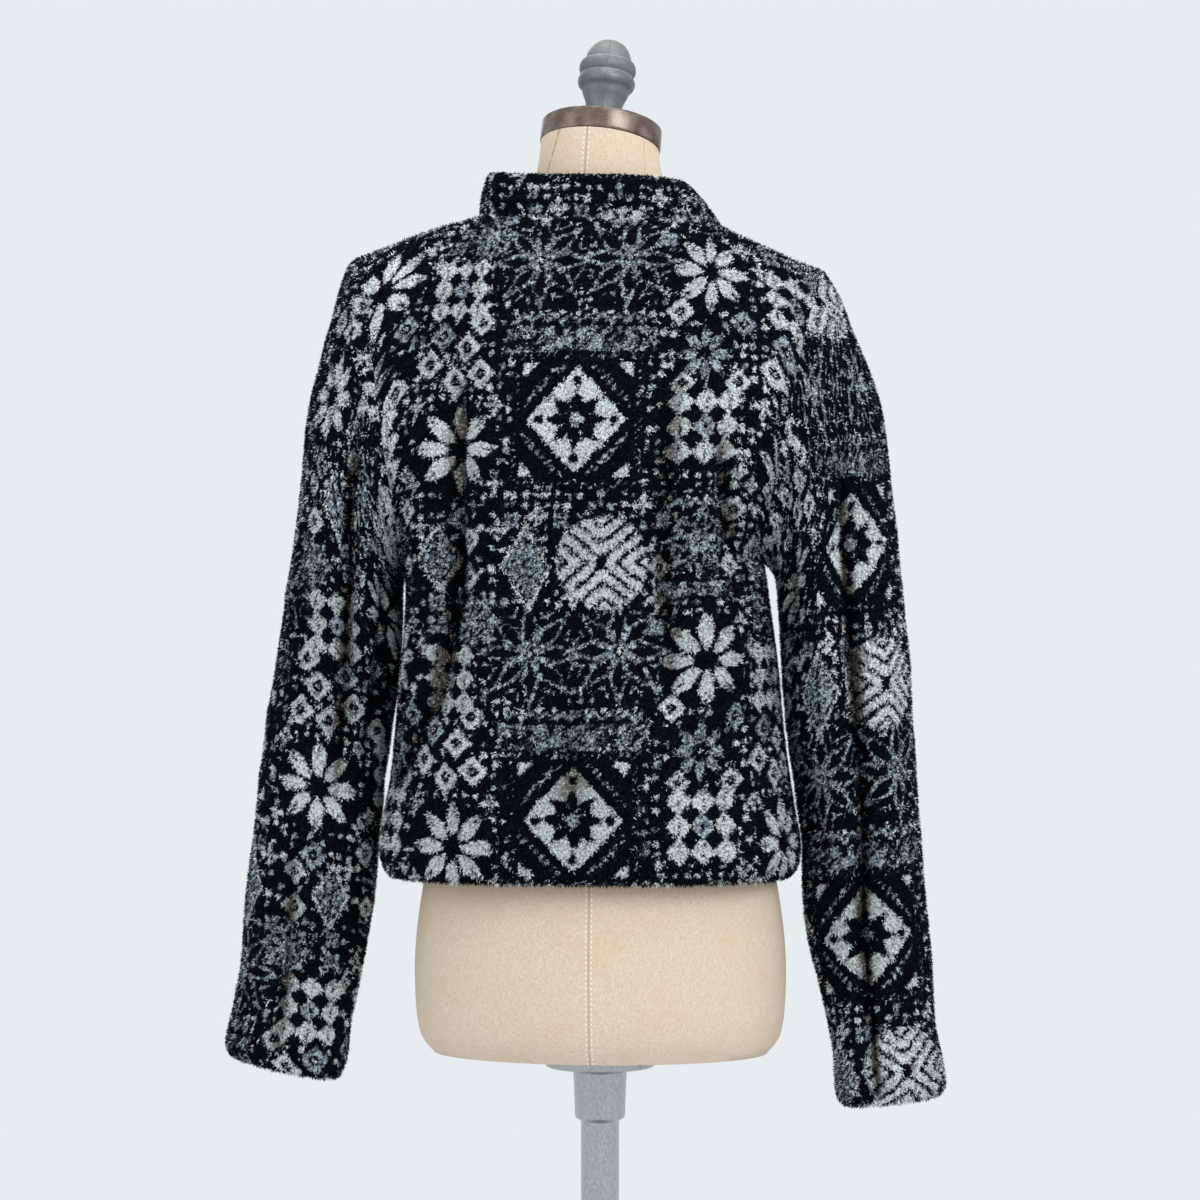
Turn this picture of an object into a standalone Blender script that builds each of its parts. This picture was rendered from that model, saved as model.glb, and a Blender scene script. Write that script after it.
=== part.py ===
"""A pile-fleece cardigan worn on a limbless dress form.

Metres, +Z up. The origin is the middle of the stand's underside, on the floor. The wearer's
front faces -Y and the wearer's left is +X. The cardigan is cut as a back, two fronts, two
sleeves and a stand collar, each a wall of fleece with a seam gap to its neighbours, and it
closes with six plain buttons. The form is a smooth torso with a neck cap, a turned finial,
a pole and a round weighted base.
"""

import math

import bmesh
import bpy
from mathutils import Vector

# Cloth
FLEECE = 0.0035
COLLAR_THICK = 0.006
SEAM_GAP = 0.0004

# Heights on the garment
HEM_Z = 0.882
UNDERARM_Z = 1.148
NECK_BACK_Z = 1.4285
NECK_FRONT_Z = 1.372

# Shoulders: neck point and tip, on the wearer's left and right
NECK_POINT = {1: (0.100, 1.437), -1: (0.101, 1.427)}
SHOULDER_TIP = {1: (0.1930, 1.406), -1: (0.1850, 1.389)}
SHOULDER_CROWN = {1: 0.003, -1: -0.001}
NECK_DEPTH = {1: 0.066, -1: 0.074}
NECK_SLOPE = {1: 42.0, -1: 68.0}
NECK_SHARE = 0.5
NECK_POWER = 1.6
ARMHOLE_DEPTH = 0.074
RING_POWER = 2.35
RISE_POWER = 2.4
CROWN_POWER = 0.7
EDGE_POWER = 3.0
NAPE_SPREAD = 0.44
NAPE_POWER = 8.0
EDGE_SOFTEN = 1.4
EDGE_BAND = 0.25

# Fineness of the walls
BACK_COLUMNS = 28
FRONT_COLUMNS = 12
LOWER_ROWS = 12
YOKE_ROWS = 12
SLEEVE_SIDES = 24
SLEEVE_ROWS = 24
COLLAR_ROWS = 3
HEM_CROWDING = 1.25
SHARP_EDGE = 40.0

# Small steps over a surface, for its outward direction: shares and rows, sleeve run, degrees
SURFACE_STEP = 0.01
RUN_STEP = 0.004
TURN_STEP = 2.0

# Body of the cardigan, from hem to underarm: reach to the left, right, back and front
BODY_COLUMNS = ("z", "left", "right", "back", "front")
BODY = (
    (0.882, 0.1740, 0.1570, 0.119, 0.124),
    (0.892, 0.1815, 0.1645, 0.127, 0.132),
    (0.910, 0.1835, 0.1665, 0.130, 0.136),
    (0.946, 0.1785, 0.1605, 0.129, 0.136),
    (1.000, 0.1715, 0.1530, 0.124, 0.134),
    (1.060, 0.1650, 0.1475, 0.119, 0.130),
    (1.100, 0.1610, 0.1420, 0.117, 0.128),
    (1.148, 0.1615, 0.1355, 0.116, 0.126),
)

# Sleeves: sections from armhole to cuff, by the upper and the under edge of each
SLEEVE_COLUMNS = ("row", "top_x", "top_z", "under_x", "under_z", "depth", "mid_y")
SLEEVE = {
    1: (
        (0, 0.1930, 1.4060, 0.1615, 1.1480, 0.0740, 0.000),
        (1, 0.2110, 1.3950, 0.1650, 1.1435, 0.0735, 0.000),
        (2, 0.2233, 1.3540, 0.1679, 1.1380, 0.0720, 0.000),
        (3, 0.2346, 1.3160, 0.1694, 1.1310, 0.0700, -0.001),
        (4, 0.2448, 1.2780, 0.1702, 1.1210, 0.0670, -0.001),
        (5, 0.2500, 1.2270, 0.1702, 1.1060, 0.0630, -0.002),
        (6, 0.2573, 1.1770, 0.1702, 1.0850, 0.0590, -0.003),
        (7, 0.2655, 1.1140, 0.1721, 1.0480, 0.0550, -0.004),
        (8, 0.2743, 1.0640, 0.1776, 1.0080, 0.0520, -0.006),
        (9, 0.2820, 1.0130, 0.1834, 0.9660, 0.0500, -0.008),
        (10, 0.2883, 0.9630, 0.1879, 0.9240, 0.0480, -0.010),
        (11, 0.2942, 0.9120, 0.1929, 0.8800, 0.0465, -0.012),
        (12, 0.3003, 0.8660, 0.1989, 0.8390, 0.0450, -0.014),
        (13, 0.3060, 0.8200, 0.2074, 0.7970, 0.0430, -0.016),
        (14, 0.3123, 0.7750, 0.2154, 0.7560, 0.0415, -0.018),
        (15, 0.3206, 0.7390, 0.2214, 0.7170, 0.0400, -0.020),
        (16, 0.3150, 0.7250, 0.2279, 0.7060, 0.0345, -0.020),
    ),
    -1: (
        (0, 0.1850, 1.3890, 0.1355, 1.1480, 0.0740, 0.000),
        (1, 0.1975, 1.3700, 0.1425, 1.1425, 0.0735, 0.000),
        (2, 0.2085, 1.3410, 0.1480, 1.1350, 0.0720, 0.000),
        (3, 0.2190, 1.3160, 0.1505, 1.1260, 0.0700, -0.001),
        (4, 0.2318, 1.2780, 0.1512, 1.1150, 0.0670, -0.001),
        (5, 0.2390, 1.2270, 0.1515, 1.1000, 0.0630, -0.002),
        (6, 0.2450, 1.1770, 0.1522, 1.0780, 0.0590, -0.003),
        (7, 0.2520, 1.1140, 0.1540, 1.0440, 0.0550, -0.004),
        (8, 0.2570, 1.0640, 0.1585, 1.0020, 0.0525, -0.006),
        (9, 0.2600, 1.0130, 0.1640, 0.9590, 0.0505, -0.008),
        (10, 0.2640, 0.9630, 0.1695, 0.9150, 0.0490, -0.010),
        (11, 0.2680, 0.9120, 0.1718, 0.8720, 0.0475, -0.012),
        (12, 0.2715, 0.8660, 0.1755, 0.8300, 0.0460, -0.014),
        (13, 0.2750, 0.8150, 0.1860, 0.7850, 0.0440, -0.016),
        (14, 0.2785, 0.7660, 0.1945, 0.7400, 0.0420, -0.018),
        (15, 0.2880, 0.7130, 0.1995, 0.7000, 0.0400, -0.020),
        (16, 0.2830, 0.6980, 0.2060, 0.6890, 0.0345, -0.020),
    ),
}

# Stand collar: reach of its top edge and its height, over the neck seam
COLLAR_TOP = {"left": 0.0925, "right": 0.0720, "back": 0.0635, "front": 0.070}
COLLAR_HEIGHT = 0.036
COLLAR_BOW = 0.002

# Soft folds of the body as half, path over X and Z, width and depth. A trough has a minus depth.
# Each fades towards its ends and near the seams.
FOLD_END_FADE = 0.6
SEAM_FADE = 0.14
BODY_FOLDS = (
    (1, ((0.107, 1.285), (0.111, 1.209), (0.113, 1.110), (0.131, 1.034), (0.168, 0.962)), 0.015, -0.0090),
    (1, ((0.138, 1.300), (0.140, 1.200), (0.140, 1.110), (0.150, 1.040)), 0.014, 0.0050),
    (1, ((0.086, 1.250), (0.084, 1.150), (0.088, 1.040), (0.100, 0.960)), 0.016, 0.0055),
    (1, ((-0.070, 1.300), (-0.066, 1.225), (-0.064, 1.140), (-0.070, 1.040)), 0.018, -0.0060),
    (1, ((-0.094, 1.290), (-0.090, 1.200), (-0.096, 1.080), (-0.100, 0.970)), 0.015, 0.0055),
    (1, ((-0.106, 1.250), (-0.112, 1.190), (-0.122, 1.150)), 0.011, -0.0070),
    (1, ((0.020, 1.060), (0.012, 0.985), (0.016, 0.925)), 0.026, -0.0045),
    (-1, ((0.112, 1.290), (0.114, 1.190), (0.108, 1.060), (0.120, 0.960)), 0.016, -0.0080),
    (-1, ((-0.106, 1.280), (-0.104, 1.190), (-0.094, 1.070), (-0.104, 0.960)), 0.016, -0.0080),
    (-1, ((0.078, 1.240), (0.074, 1.120), (0.066, 0.990)), 0.017, 0.0055),
    (-1, ((-0.070, 1.230), (-0.064, 1.110), (-0.058, 0.980)), 0.017, 0.0055),
)

# Soft folds of the sleeves as arm, path, width and depth. A path's places are the turn in
# degrees from the upper edge over the back, and the run from 0 at the armhole to 1.
SLEEVE_FADE = 0.12
ARMHOLE_FADE = 0.05
SLEEVE_FOLDS = (
    (1, ((88, 0.10), (98, 0.30), (106, 0.46), (112, 0.60)), 13.0, -0.0075),
    (1, ((62, 0.16), (66, 0.36), (74, 0.56)), 14.0, 0.0045),
    (1, ((70, 0.66), (84, 0.82), (88, 0.94)), 14.0, -0.0050),
    (1, ((150, 0.26), (146, 0.40), (140, 0.55)), 15.0, -0.0050),
    (1, ((240, 0.14), (250, 0.34), (262, 0.56)), 15.0, -0.0070),
    (1, ((284, 0.60), (290, 0.78), (282, 0.92)), 15.0, -0.0050),
    (-1, ((70, 0.24), (78, 0.42), (82, 0.62), (98, 0.80), (108, 0.96)), 11.0, -0.0100),
    (-1, ((46, 0.30), (52, 0.50), (60, 0.74)), 14.0, 0.0045),
    (-1, ((112, 0.20), (112, 0.42), (114, 0.62)), 13.0, 0.0045),
    (-1, ((132, 0.14), (140, 0.30), (156, 0.44)), 12.0, -0.0060),
    (-1, ((250, 0.14), (256, 0.36), (268, 0.58)), 15.0, -0.0070),
    (-1, ((290, 0.58), (282, 0.76), (286, 0.92)), 15.0, -0.0050),
)

# Front edges: the right front laps over the left one
LAP = 0.0125
LAP_GAP = 0.0007
LAP_EASE = 0.030
BUTTON_COUNT = 6
BUTTON_GAP = 0.0008
BUTTON_LOW_Z = 0.915
BUTTON_HIGH_Z = 1.350
BUTTON_SIDES = 14

# Dress form as height, half width, reach to the back and front, and how far a section tips
FORM = (
    (0.7350, 0.1400, 0.092, 0.088, 0.0),
    (0.7480, 0.1505, 0.101, 0.096, 0.0),
    (0.7800, 0.1555, 0.107, 0.100, 0.0),
    (0.8300, 0.1550, 0.108, 0.100, 0.0),
    (0.8900, 0.1460, 0.099, 0.095, 0.0),
    (0.9500, 0.1310, 0.086, 0.090, 0.0),
    (1.0200, 0.1190, 0.077, 0.086, 0.0),
    (1.0900, 0.1220, 0.083, 0.096, 0.0),
    (1.1500, 0.1270, 0.090, 0.106, 0.0),
    (1.2100, 0.1345, 0.094, 0.108, 0.1),
    (1.2700, 0.1440, 0.094, 0.102, 0.3),
    (1.3200, 0.1510, 0.088, 0.090, 0.6),
    (1.3550, 0.1545, 0.078, 0.0745, 1.0),
    (1.3800, 0.1500, 0.062, 0.060, 1.0),
    (1.4000, 0.1340, 0.050, 0.049, 1.0),
    (1.4150, 0.1090, 0.046, 0.045, 1.0),
    (1.4290, 0.0810, 0.0475, 0.046, 1.0),
    (1.4450, 0.0640, 0.0490, 0.048, 1.0),
    (1.4620, 0.0555, 0.0500, 0.049, 1.3),
    (1.4800, 0.0512, 0.0500, 0.0495, 1.8),
    (1.4935, 0.0497, 0.0497, 0.0495, 2.15),
)
FORM_SIDES = 32
FORM_LEAN = 0.035
CAP_LEAN = FORM[-1][-1] * FORM_LEAN
FORWARD_LOW_Z = 1.430
CAP_TIP = 0.23
CAP_THICK = 0.0188
CAP_SEAT_Z = 1.4935
TURNED_SIDES = 20
CAP_SIDES = 40
BASE_SIDES = 48

# Turned pieces as radius and height pairs, from the top down
BUTTON_PROFILE = (
    (0.0000, 0.0021), (0.0050, 0.0021), (0.0066, 0.0032), (0.0084, 0.0032), (0.0095, 0.0020),
    (0.0095, 0.0009), (0.0080, 0.0000), (0.0000, 0.0000),
)
CAP_PROFILE = (
    (0.0000, CAP_THICK), (0.0488, CAP_THICK), (0.0508, 0.0168), (0.0508, 0.0015),
    (0.0493, 0.0000), (0.0000, 0.0000),
)
FINIAL_PROFILE = (
    (0.0000, 0.0757), (0.0065, 0.0750), (0.0110, 0.0732), (0.0145, 0.0700), (0.0178, 0.0645),
    (0.0195, 0.0595), (0.0200, 0.0568), (0.0226, 0.0552), (0.0240, 0.0515), (0.0240, 0.0490),
    (0.0228, 0.0458), (0.0215, 0.0443), (0.0230, 0.0425), (0.0242, 0.0395), (0.0242, 0.0368),
    (0.0230, 0.0340), (0.0208, 0.0316), (0.0188, 0.0268), (0.0168, 0.0222), (0.0158, 0.0185),
    (0.0154, 0.0120), (0.0158, 0.0050), (0.0166, 0.0000), (0.0000, 0.0000),
)
POLE_PROFILE = (
    (0.0000, 0.7346), (0.0440, 0.7346), (0.0460, 0.7325), (0.0460, 0.7250), (0.0440, 0.7230),
    (0.0225, 0.7190), (0.0210, 0.6800), (0.0160, 0.6770), (0.0160, 0.0404), (0.0000, 0.0404),
)
BASE_PROFILE = (
    (0.0000, 0.0400), (0.0240, 0.0400), (0.0275, 0.0370), (0.0300, 0.0260), (0.0420, 0.0215),
    (0.1500, 0.0160), (0.1790, 0.0140), (0.1880, 0.0110), (0.1900, 0.0060), (0.1900, 0.0000),
    (0.0000, 0.0000),
)

# Colour, roughness and metallic value of each sub-part
FINISH = {
    "fleece_back": ((0.16, 0.17, 0.18), 0.95, 0.0),
    "fleece_front": ((0.15, 0.16, 0.17), 0.95, 0.0),
    "fleece_sleeve": ((0.17, 0.18, 0.19), 0.95, 0.0),
    "fleece_collar": ((0.18, 0.19, 0.20), 0.95, 0.0),
    "button": ((0.02, 0.02, 0.022), 0.35, 0.0),
    "canvas": ((0.86, 0.70, 0.52), 0.85, 0.0),
    "cap_metal": ((0.17, 0.12, 0.09), 0.5, 0.8),
    "cast_iron": ((0.16, 0.17, 0.18), 0.5, 0.7),
    "steel": ((0.30, 0.30, 0.31), 0.35, 0.9),
}


def clear_scene():
    """Remove the objects of the start-up scene."""
    for item in list(bpy.data.objects):
        bpy.data.objects.remove(item, do_unlink=True)


def finish(name):
    """The named Principled material, made once."""
    found = bpy.data.materials.get(name)
    if found:
        return found
    colour, roughness, metallic = FINISH[name]
    material = bpy.data.materials.new(name)
    material.use_nodes = True
    shader = material.node_tree.nodes["Principled BSDF"]
    shader.inputs["Base Color"].default_value = (*colour, 1.0)
    shader.inputs["Roughness"].default_value = roughness
    shader.inputs["Metallic"].default_value = metallic
    return material


def section(columns, rows, at):
    """Row of a table at a place between its rows, on a smooth curve through them."""
    at = min(max(at, rows[0][0]), rows[-1][0])
    low = 0
    while low < len(rows) - 2 and at > rows[low + 1][0]:
        low += 1
    before = rows[max(low - 1, 0)]
    first = rows[low]
    second = rows[low + 1]
    after = rows[min(low + 2, len(rows) - 1)]
    span = second[0] - first[0]
    t = (at - first[0]) / span
    values = {columns[0]: at}
    for i, name in enumerate(columns[1:], start=1):
        slope_1 = (second[i] - before[i]) / (second[0] - before[0]) * span
        slope_2 = (after[i] - first[i]) / (after[0] - first[0]) * span
        values[name] = (
            (2 * t**3 - 3 * t**2 + 1) * first[i]
            + (t**3 - 2 * t**2 + t) * slope_1
            + (3 * t**2 - 2 * t**3) * second[i]
            + (t**3 - t**2) * slope_2
        )
    return values


def fold_depth(path, width, depth, x, z):
    """Height of one fold at a place: deepest along its path, soft at its sides and ends."""
    lengths = [math.dist(a, b) for a, b in zip(path, path[1:])]
    nearest = None
    passed = 0.0
    for (a, b), length in zip(zip(path, path[1:]), lengths):
        along = ((x - a[0]) * (b[0] - a[0]) + (z - a[1]) * (b[1] - a[1])) / length**2
        along = min(max(along, 0.0), 1.0)
        gap = math.dist((x, z), (a[0] + along * (b[0] - a[0]), a[1] + along * (b[1] - a[1])))
        if nearest is None or gap < nearest[0]:
            nearest = (gap, passed + along * length)
        passed += length
    gap, reached = nearest
    middle = abs(2 * reached / passed - 1)
    return depth * math.exp(-((gap / width) ** 2)) * (1 - FOLD_END_FADE * middle**2)


def ring(left, right, depth, half, share):
    """Place on one half of a body section; share runs from -1, right seam, to 1, left seam."""
    angle = share * math.pi / 2
    across = math.sin(angle)
    out = math.cos(angle)
    size = (abs(across) ** RING_POWER + abs(out) ** RING_POWER) ** (-1 / RING_POWER)
    middle = (left - right) / 2
    reach = (left + right) / 2
    return middle + reach * size * across, half * depth * size * out


def lower_point(half, share, height):
    """Body surface between hem and underarm."""
    row = section(BODY_COLUMNS, BODY, height)
    depth = row["back"] if half > 0 else row["front"]
    x, y = ring(row["left"], row["right"], depth, half, share)
    return Vector((x, y, height))


def neck_point(turn):
    """Neck seam; turn is in degrees from the back middle, plus on the wearer's left."""
    side = 1 if turn >= 0 else -1
    half = 1 if abs(turn) <= 90 else -1
    reach, top = NECK_POINT[side]
    angle = math.radians(turn)
    x = reach * abs(math.sin(angle)) * side
    y = NECK_DEPTH[half] * math.cos(angle)
    middle = NECK_BACK_Z if half > 0 else NECK_FRONT_Z
    z = top + (middle - top) * abs(math.cos(angle)) ** NECK_POWER
    return Vector((x, y, z))


def neck_outward(turn):
    """Level direction out of the neck ellipse."""
    angle = math.radians(turn)
    half = 1 if abs(turn) <= 90 else -1
    out = Vector((math.sin(angle) / NECK_POINT[1][0], math.cos(angle) / NECK_DEPTH[half], 0.0))
    return out.normalized()


def neck_normal(turn):
    """Outward direction of the panels along the neck seam, and of the shoulder seam at its end."""
    side = 1 if turn >= 0 else -1
    run = SHOULDER_TIP[side][0] - NECK_POINT[side][0]
    drop = NECK_POINT[side][1] - SHOULDER_TIP[side][1]
    slope = math.atan2(drop, run)
    end = math.radians(NECK_SLOPE[1 if abs(turn) <= 90 else -1])
    slope += (end - slope) * abs(math.cos(math.radians(turn)))
    return neck_outward(turn) * math.sin(slope) + Vector((0.0, 0.0, math.cos(slope)))


def top_point(half, share):
    """Top edge of a panel: the neck seam, then the shoulder seam out to its tip."""
    side = 1 if share >= 0 else -1
    if abs(share) <= NECK_SHARE:
        turn = abs(share) / NECK_SHARE * 90
        return neck_point(side * (turn if half > 0 else 180 - turn))
    along = (abs(share) - NECK_SHARE) / (1 - NECK_SHARE)
    near = NECK_POINT[side]
    tip = SHOULDER_TIP[side]
    x = near[0] + along * (tip[0] - near[0])
    z = near[1] + along * (tip[1] - near[1]) + SHOULDER_CROWN[side] * math.sin(math.pi * along)
    return Vector((side * x, 0.0, z))


def yoke_point(half, share, climb):
    """Body surface between underarm, climb 0, and the top seams, climb 1."""
    rise = (1 - math.cos(math.pi * climb)) / 2
    low = lower_point(half, share, UNDERARM_Z)
    top = top_point(half, share)
    soften = 1 + EDGE_SOFTEN * min((1 - abs(share)) / EDGE_BAND, 1.0)
    swell = max(math.sin(math.pi * climb), 0.0) ** soften
    edge = half * abs(share) ** EDGE_POWER * ARMHOLE_DEPTH * swell
    crown = max(1 - rise**RISE_POWER, 0.0) ** CROWN_POWER
    nape = half * NECK_DEPTH[half] * math.exp(-((share / NAPE_SPREAD) ** 2))
    top_y = nape + (top.y - nape) * rise**NAPE_POWER
    return Vector((
        low.x + (top.x - low.x) * rise,
        top_y + (low.y - top_y) * crown + edge,
        low.z + (top.z - low.z) * rise,
    ))


def body_point(half, share, row):
    """Body surface by row: 0 is the hem, 1 the underarm, 2 the top seams."""
    if row <= 1:
        return lower_point(half, share, HEM_Z + row * (UNDERARM_Z - HEM_Z))
    return yoke_point(half, share, row - 1)


def body_normal(half, share, row):
    """Outward direction of the body surface, the same from both sides of a seam."""
    if row >= 2.0:
        side = 1 if share > 0 else -1
        turn = min(abs(share) / NECK_SHARE, 1.0) * 90
        return neck_normal(side * (turn if half > 0 else 180 - turn))
    step = SURFACE_STEP
    reach = 1.0 + step if row <= 1 else 1.0
    near = body_point(half, max(share - step, -reach), row)
    far = body_point(half, min(share + step, reach), row)
    low = body_point(half, share, max(row - step, 0.0))
    high = body_point(half, share, min(row + step, 2.0))
    return (high - low).cross(far - near).normalized() * half


def build_wall(name, outer, inner, material, closed=False):
    """Closed wall from grids of outer and inner points, a tube where it is closed."""
    mesh = bmesh.new()
    rows = len(outer)
    columns = len(outer[0])
    face_out = [[mesh.verts.new(p) for p in line] for line in outer]
    face_in = [[mesh.verts.new(p) for p in line] for line in inner]
    last = columns if closed else columns - 1
    for i in range(rows - 1):
        for j in range(last):
            k = (j + 1) % columns
            mesh.faces.new((face_out[i][j], face_out[i][k], face_out[i + 1][k], face_out[i + 1][j]))
            mesh.faces.new((face_in[i][j], face_in[i + 1][j], face_in[i + 1][k], face_in[i][k]))
    for j in range(last):
        k = (j + 1) % columns
        mesh.faces.new((face_out[0][j], face_in[0][j], face_in[0][k], face_out[0][k]))
        mesh.faces.new((face_out[-1][j], face_out[-1][k], face_in[-1][k], face_in[-1][j]))
    if not closed:
        for i in range(rows - 1):
            mesh.faces.new((face_out[i][0], face_out[i + 1][0], face_in[i + 1][0], face_in[i][0]))
            mesh.faces.new((face_out[i][-1], face_in[i][-1], face_in[i + 1][-1], face_out[i + 1][-1]))
    bmesh.ops.recalc_face_normals(mesh, faces=mesh.faces[:])
    return add_object(name, mesh, material)


def add_object(name, mesh, material):
    """Object from a finished bmesh, shaded smooth with its sharp edges kept."""
    data = bpy.data.meshes.new(name)
    mesh.to_mesh(data)
    mesh.free()
    data.shade_smooth()
    data.set_sharp_from_angle(angle=math.radians(SHARP_EDGE))
    data.materials.append(finish(material))
    item = bpy.data.objects.new(name, data)
    bpy.context.scene.collection.objects.link(item)
    return item


def body_rows():
    """Row values from the hem to the top seams, closer where the hem turns in."""
    lower = [(i / LOWER_ROWS) ** HEM_CROWDING for i in range(LOWER_ROWS)]
    yoke = [1 + i / YOKE_ROWS for i in range(YOKE_ROWS + 1)]
    return lower + yoke


def panel(name, half, shares, material, inset=None):
    """One body panel over the given shares of its half, with its folds."""
    outer = []
    inner = []
    for row in body_rows():
        points = []
        backs = []
        for share in shares:
            point = body_point(half, share, row)
            normal = body_normal(half, share, row)
            lift = sum(
                fold_depth(path, width, depth, point.x, point.z)
                for side, path, width, depth in BODY_FOLDS if side == half
            )
            lift *= min((1 - abs(share)) / SEAM_FADE, (2 - row) / SEAM_FADE, 1.0)
            if inset:
                lift -= inset(point.x, row)
            point.y += half * SEAM_GAP / 2
            point += normal * lift
            if row > 1 and abs(share) == 1:
                axis = armhole_axis(share)
                normal = (normal - axis * min(normal.dot(axis), 0.0)).normalized()
            points.append(point)
            backs.append(point - normal * FLEECE)
        outer.append(points)
        inner.append(backs)
    return build_wall(name, outer, inner, material)


def even_shares(first, last, count):
    """Evenly spaced shares, ends included."""
    return [first + (last - first) * i / count for i in range(count + 1)]


def neck_shares():
    """Shares of a front from the lap's edge to its neck point."""
    row = section(BODY_COLUMNS, BODY, UNDERARM_Z)
    lap = LAP / ((row["left"] + row["right"]) / 2) / (math.pi / 2)
    return even_shares(lap, NECK_SHARE, FRONT_COLUMNS // 2)


def front_shares():
    """Shares of a front from the lap's edge to its side seam."""
    return neck_shares() + even_shares(NECK_SHARE, 1.0, FRONT_COLUMNS - FRONT_COLUMNS // 2)[1:]


def collar_turns():
    """Turns of the collar's columns, the same as those of the panels below it."""
    step = 90 / NECK_SHARE
    back = [step * 2 * i / BACK_COLUMNS for i in range(BACK_COLUMNS // 4 + 1)]
    front = [180 - share * step for share in reversed(neck_shares()[:-1])]
    half = back + front
    return [-turn for turn in reversed(half)] + half[1:]


def build_body():
    """Back and both fronts; the left front runs under the right one at the middle."""
    panel("back", 1, even_shares(-1.0, 1.0, BACK_COLUMNS), "fleece_back")
    near = front_shares()

    def tuck(x, row_value):
        middle = body_point(-1, 0.0, row_value).x
        ease = (middle + LAP + LAP_EASE - x) / LAP_EASE
        ease = min(max(ease, 0.0), 1.0)
        return (FLEECE + LAP_GAP) * ease * ease * (3 - 2 * ease)

    panel("front_right", -1, [-s for s in reversed(near)] + [0.0, near[0]], "fleece_front")
    panel("front_left", -1, [-near[0], 0.0] + near, "fleece_front", tuck)


def sleeve_point(arm, turn, run):
    """Sleeve surface; turn in degrees from the upper edge over the back, run from 0 to 1."""
    rows = SLEEVE[arm]
    row = section(SLEEVE_COLUMNS, rows, run * rows[-1][0])
    angle = math.radians(turn)
    across = math.cos(angle)
    middle_x = (row["top_x"] + row["under_x"]) / 2
    middle_z = (row["top_z"] + row["under_z"]) / 2
    return Vector((
        arm * (middle_x + (row["top_x"] - row["under_x"]) / 2 * across),
        row["mid_y"] + row["depth"] * math.sin(angle),
        middle_z + (row["top_z"] - row["under_z"]) / 2 * across,
    ))


def sleeve_normal(arm, turn, run):
    """Outward direction of the sleeve; at the armhole it lies in the plane of the seam."""
    low = max(run - RUN_STEP, 0.0)
    high = min(run + RUN_STEP, 1.0)
    along = sleeve_point(arm, turn, high) - sleeve_point(arm, turn, low)
    around = sleeve_point(arm, turn + TURN_STEP, run) - sleeve_point(arm, turn - TURN_STEP, run)
    if run <= 0.0:
        along = armhole_axis(arm)
    return along.cross(around).normalized() * arm


def armhole_axis(arm):
    """Direction out of the armhole, square to its plane."""
    tip = SHOULDER_TIP[arm]
    row = section(BODY_COLUMNS, BODY, UNDERARM_Z)
    under = row["left"] if arm > 0 else row["right"]
    return Vector((arm * (tip[1] - UNDERARM_Z), 0.0, under - tip[0])).normalized()


def build_sleeve(name, arm):
    """One sleeve: a tube from its armhole to its cuff."""
    outer = []
    inner = []
    for i in range(SLEEVE_ROWS + 1):
        run = i / SLEEVE_ROWS
        points = []
        backs = []
        for j in range(SLEEVE_SIDES):
            turn = 360 * j / SLEEVE_SIDES
            normal = sleeve_normal(arm, turn, run)
            lift = sum(
                fold_depth([(a, b * 360) for a, b in path], width, depth, turn, run * 360)
                for side, path, width, depth in SLEEVE_FOLDS if side == arm
            )
            lift *= min(run / SLEEVE_FADE, 1.0)
            shift = armhole_axis(arm) * SEAM_GAP * max(1 - run / ARMHOLE_FADE, 0.0)
            point = sleeve_point(arm, turn, run) + normal * lift + shift
            points.append(point)
            backs.append(point - normal * FLEECE)
        outer.append(points)
        inner.append(backs)
    return build_wall(name, outer, inner, "fleece_sleeve", closed=True)


def build_collar():
    """Stand collar: a band that rises from the neck seam, open at the front middle."""
    outer = []
    inner = []
    turns = collar_turns()
    for i in range(COLLAR_ROWS + 1):
        climb = i / COLLAR_ROWS
        points = []
        backs = []
        for turn in turns:
            angle = math.radians(turn)
            seam = neck_point(turn)
            reach = COLLAR_TOP["left"] if turn >= 0 else COLLAR_TOP["right"]
            depth = COLLAR_TOP["back"] if abs(turn) <= 90 else COLLAR_TOP["front"]
            top = Vector((reach * math.sin(angle), depth * math.cos(angle), seam.z + COLLAR_HEIGHT))
            bow = math.sin(math.pi * climb) * COLLAR_BOW
            normal = neck_outward(turn)
            face = neck_normal(turn)
            off = Vector((0.0, 0.0, face.dot(normal))) - normal * face.z
            point = seam.lerp(top, climb) + normal * bow + off.normalized() * SEAM_GAP
            points.append(point)
            backs.append(point - (face * FLEECE if i == 0 else normal * COLLAR_THICK))
        outer.append(points)
        inner.append(backs)
    return build_wall("collar", outer, inner, "fleece_collar")


def turned(name, profile, material, base, sides=TURNED_SIDES):
    """Solid turned from a radius and height profile that ends on the axis at both ends."""
    mesh = bmesh.new()
    rings = []
    for radius, height in profile:
        if radius == 0.0:
            rings.append([mesh.verts.new((0.0, 0.0, height))])
            continue
        angles = [2 * math.pi * k / sides for k in range(sides)]
        rings.append([
            mesh.verts.new((radius * math.cos(a), radius * math.sin(a), height)) for a in angles
        ])
    for upper, lower in zip(rings, rings[1:]):
        for k in range(sides):
            n = (k + 1) % sides
            if len(upper) == 1:
                mesh.faces.new((upper[0], lower[k], lower[n]))
            elif len(lower) == 1:
                mesh.faces.new((upper[k], lower[0], upper[n]))
            else:
                mesh.faces.new((upper[k], lower[k], lower[n], upper[n]))
    bmesh.ops.recalc_face_normals(mesh, faces=mesh.faces[:])
    item = add_object(name, mesh, material)
    item.location = base
    return item


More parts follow.
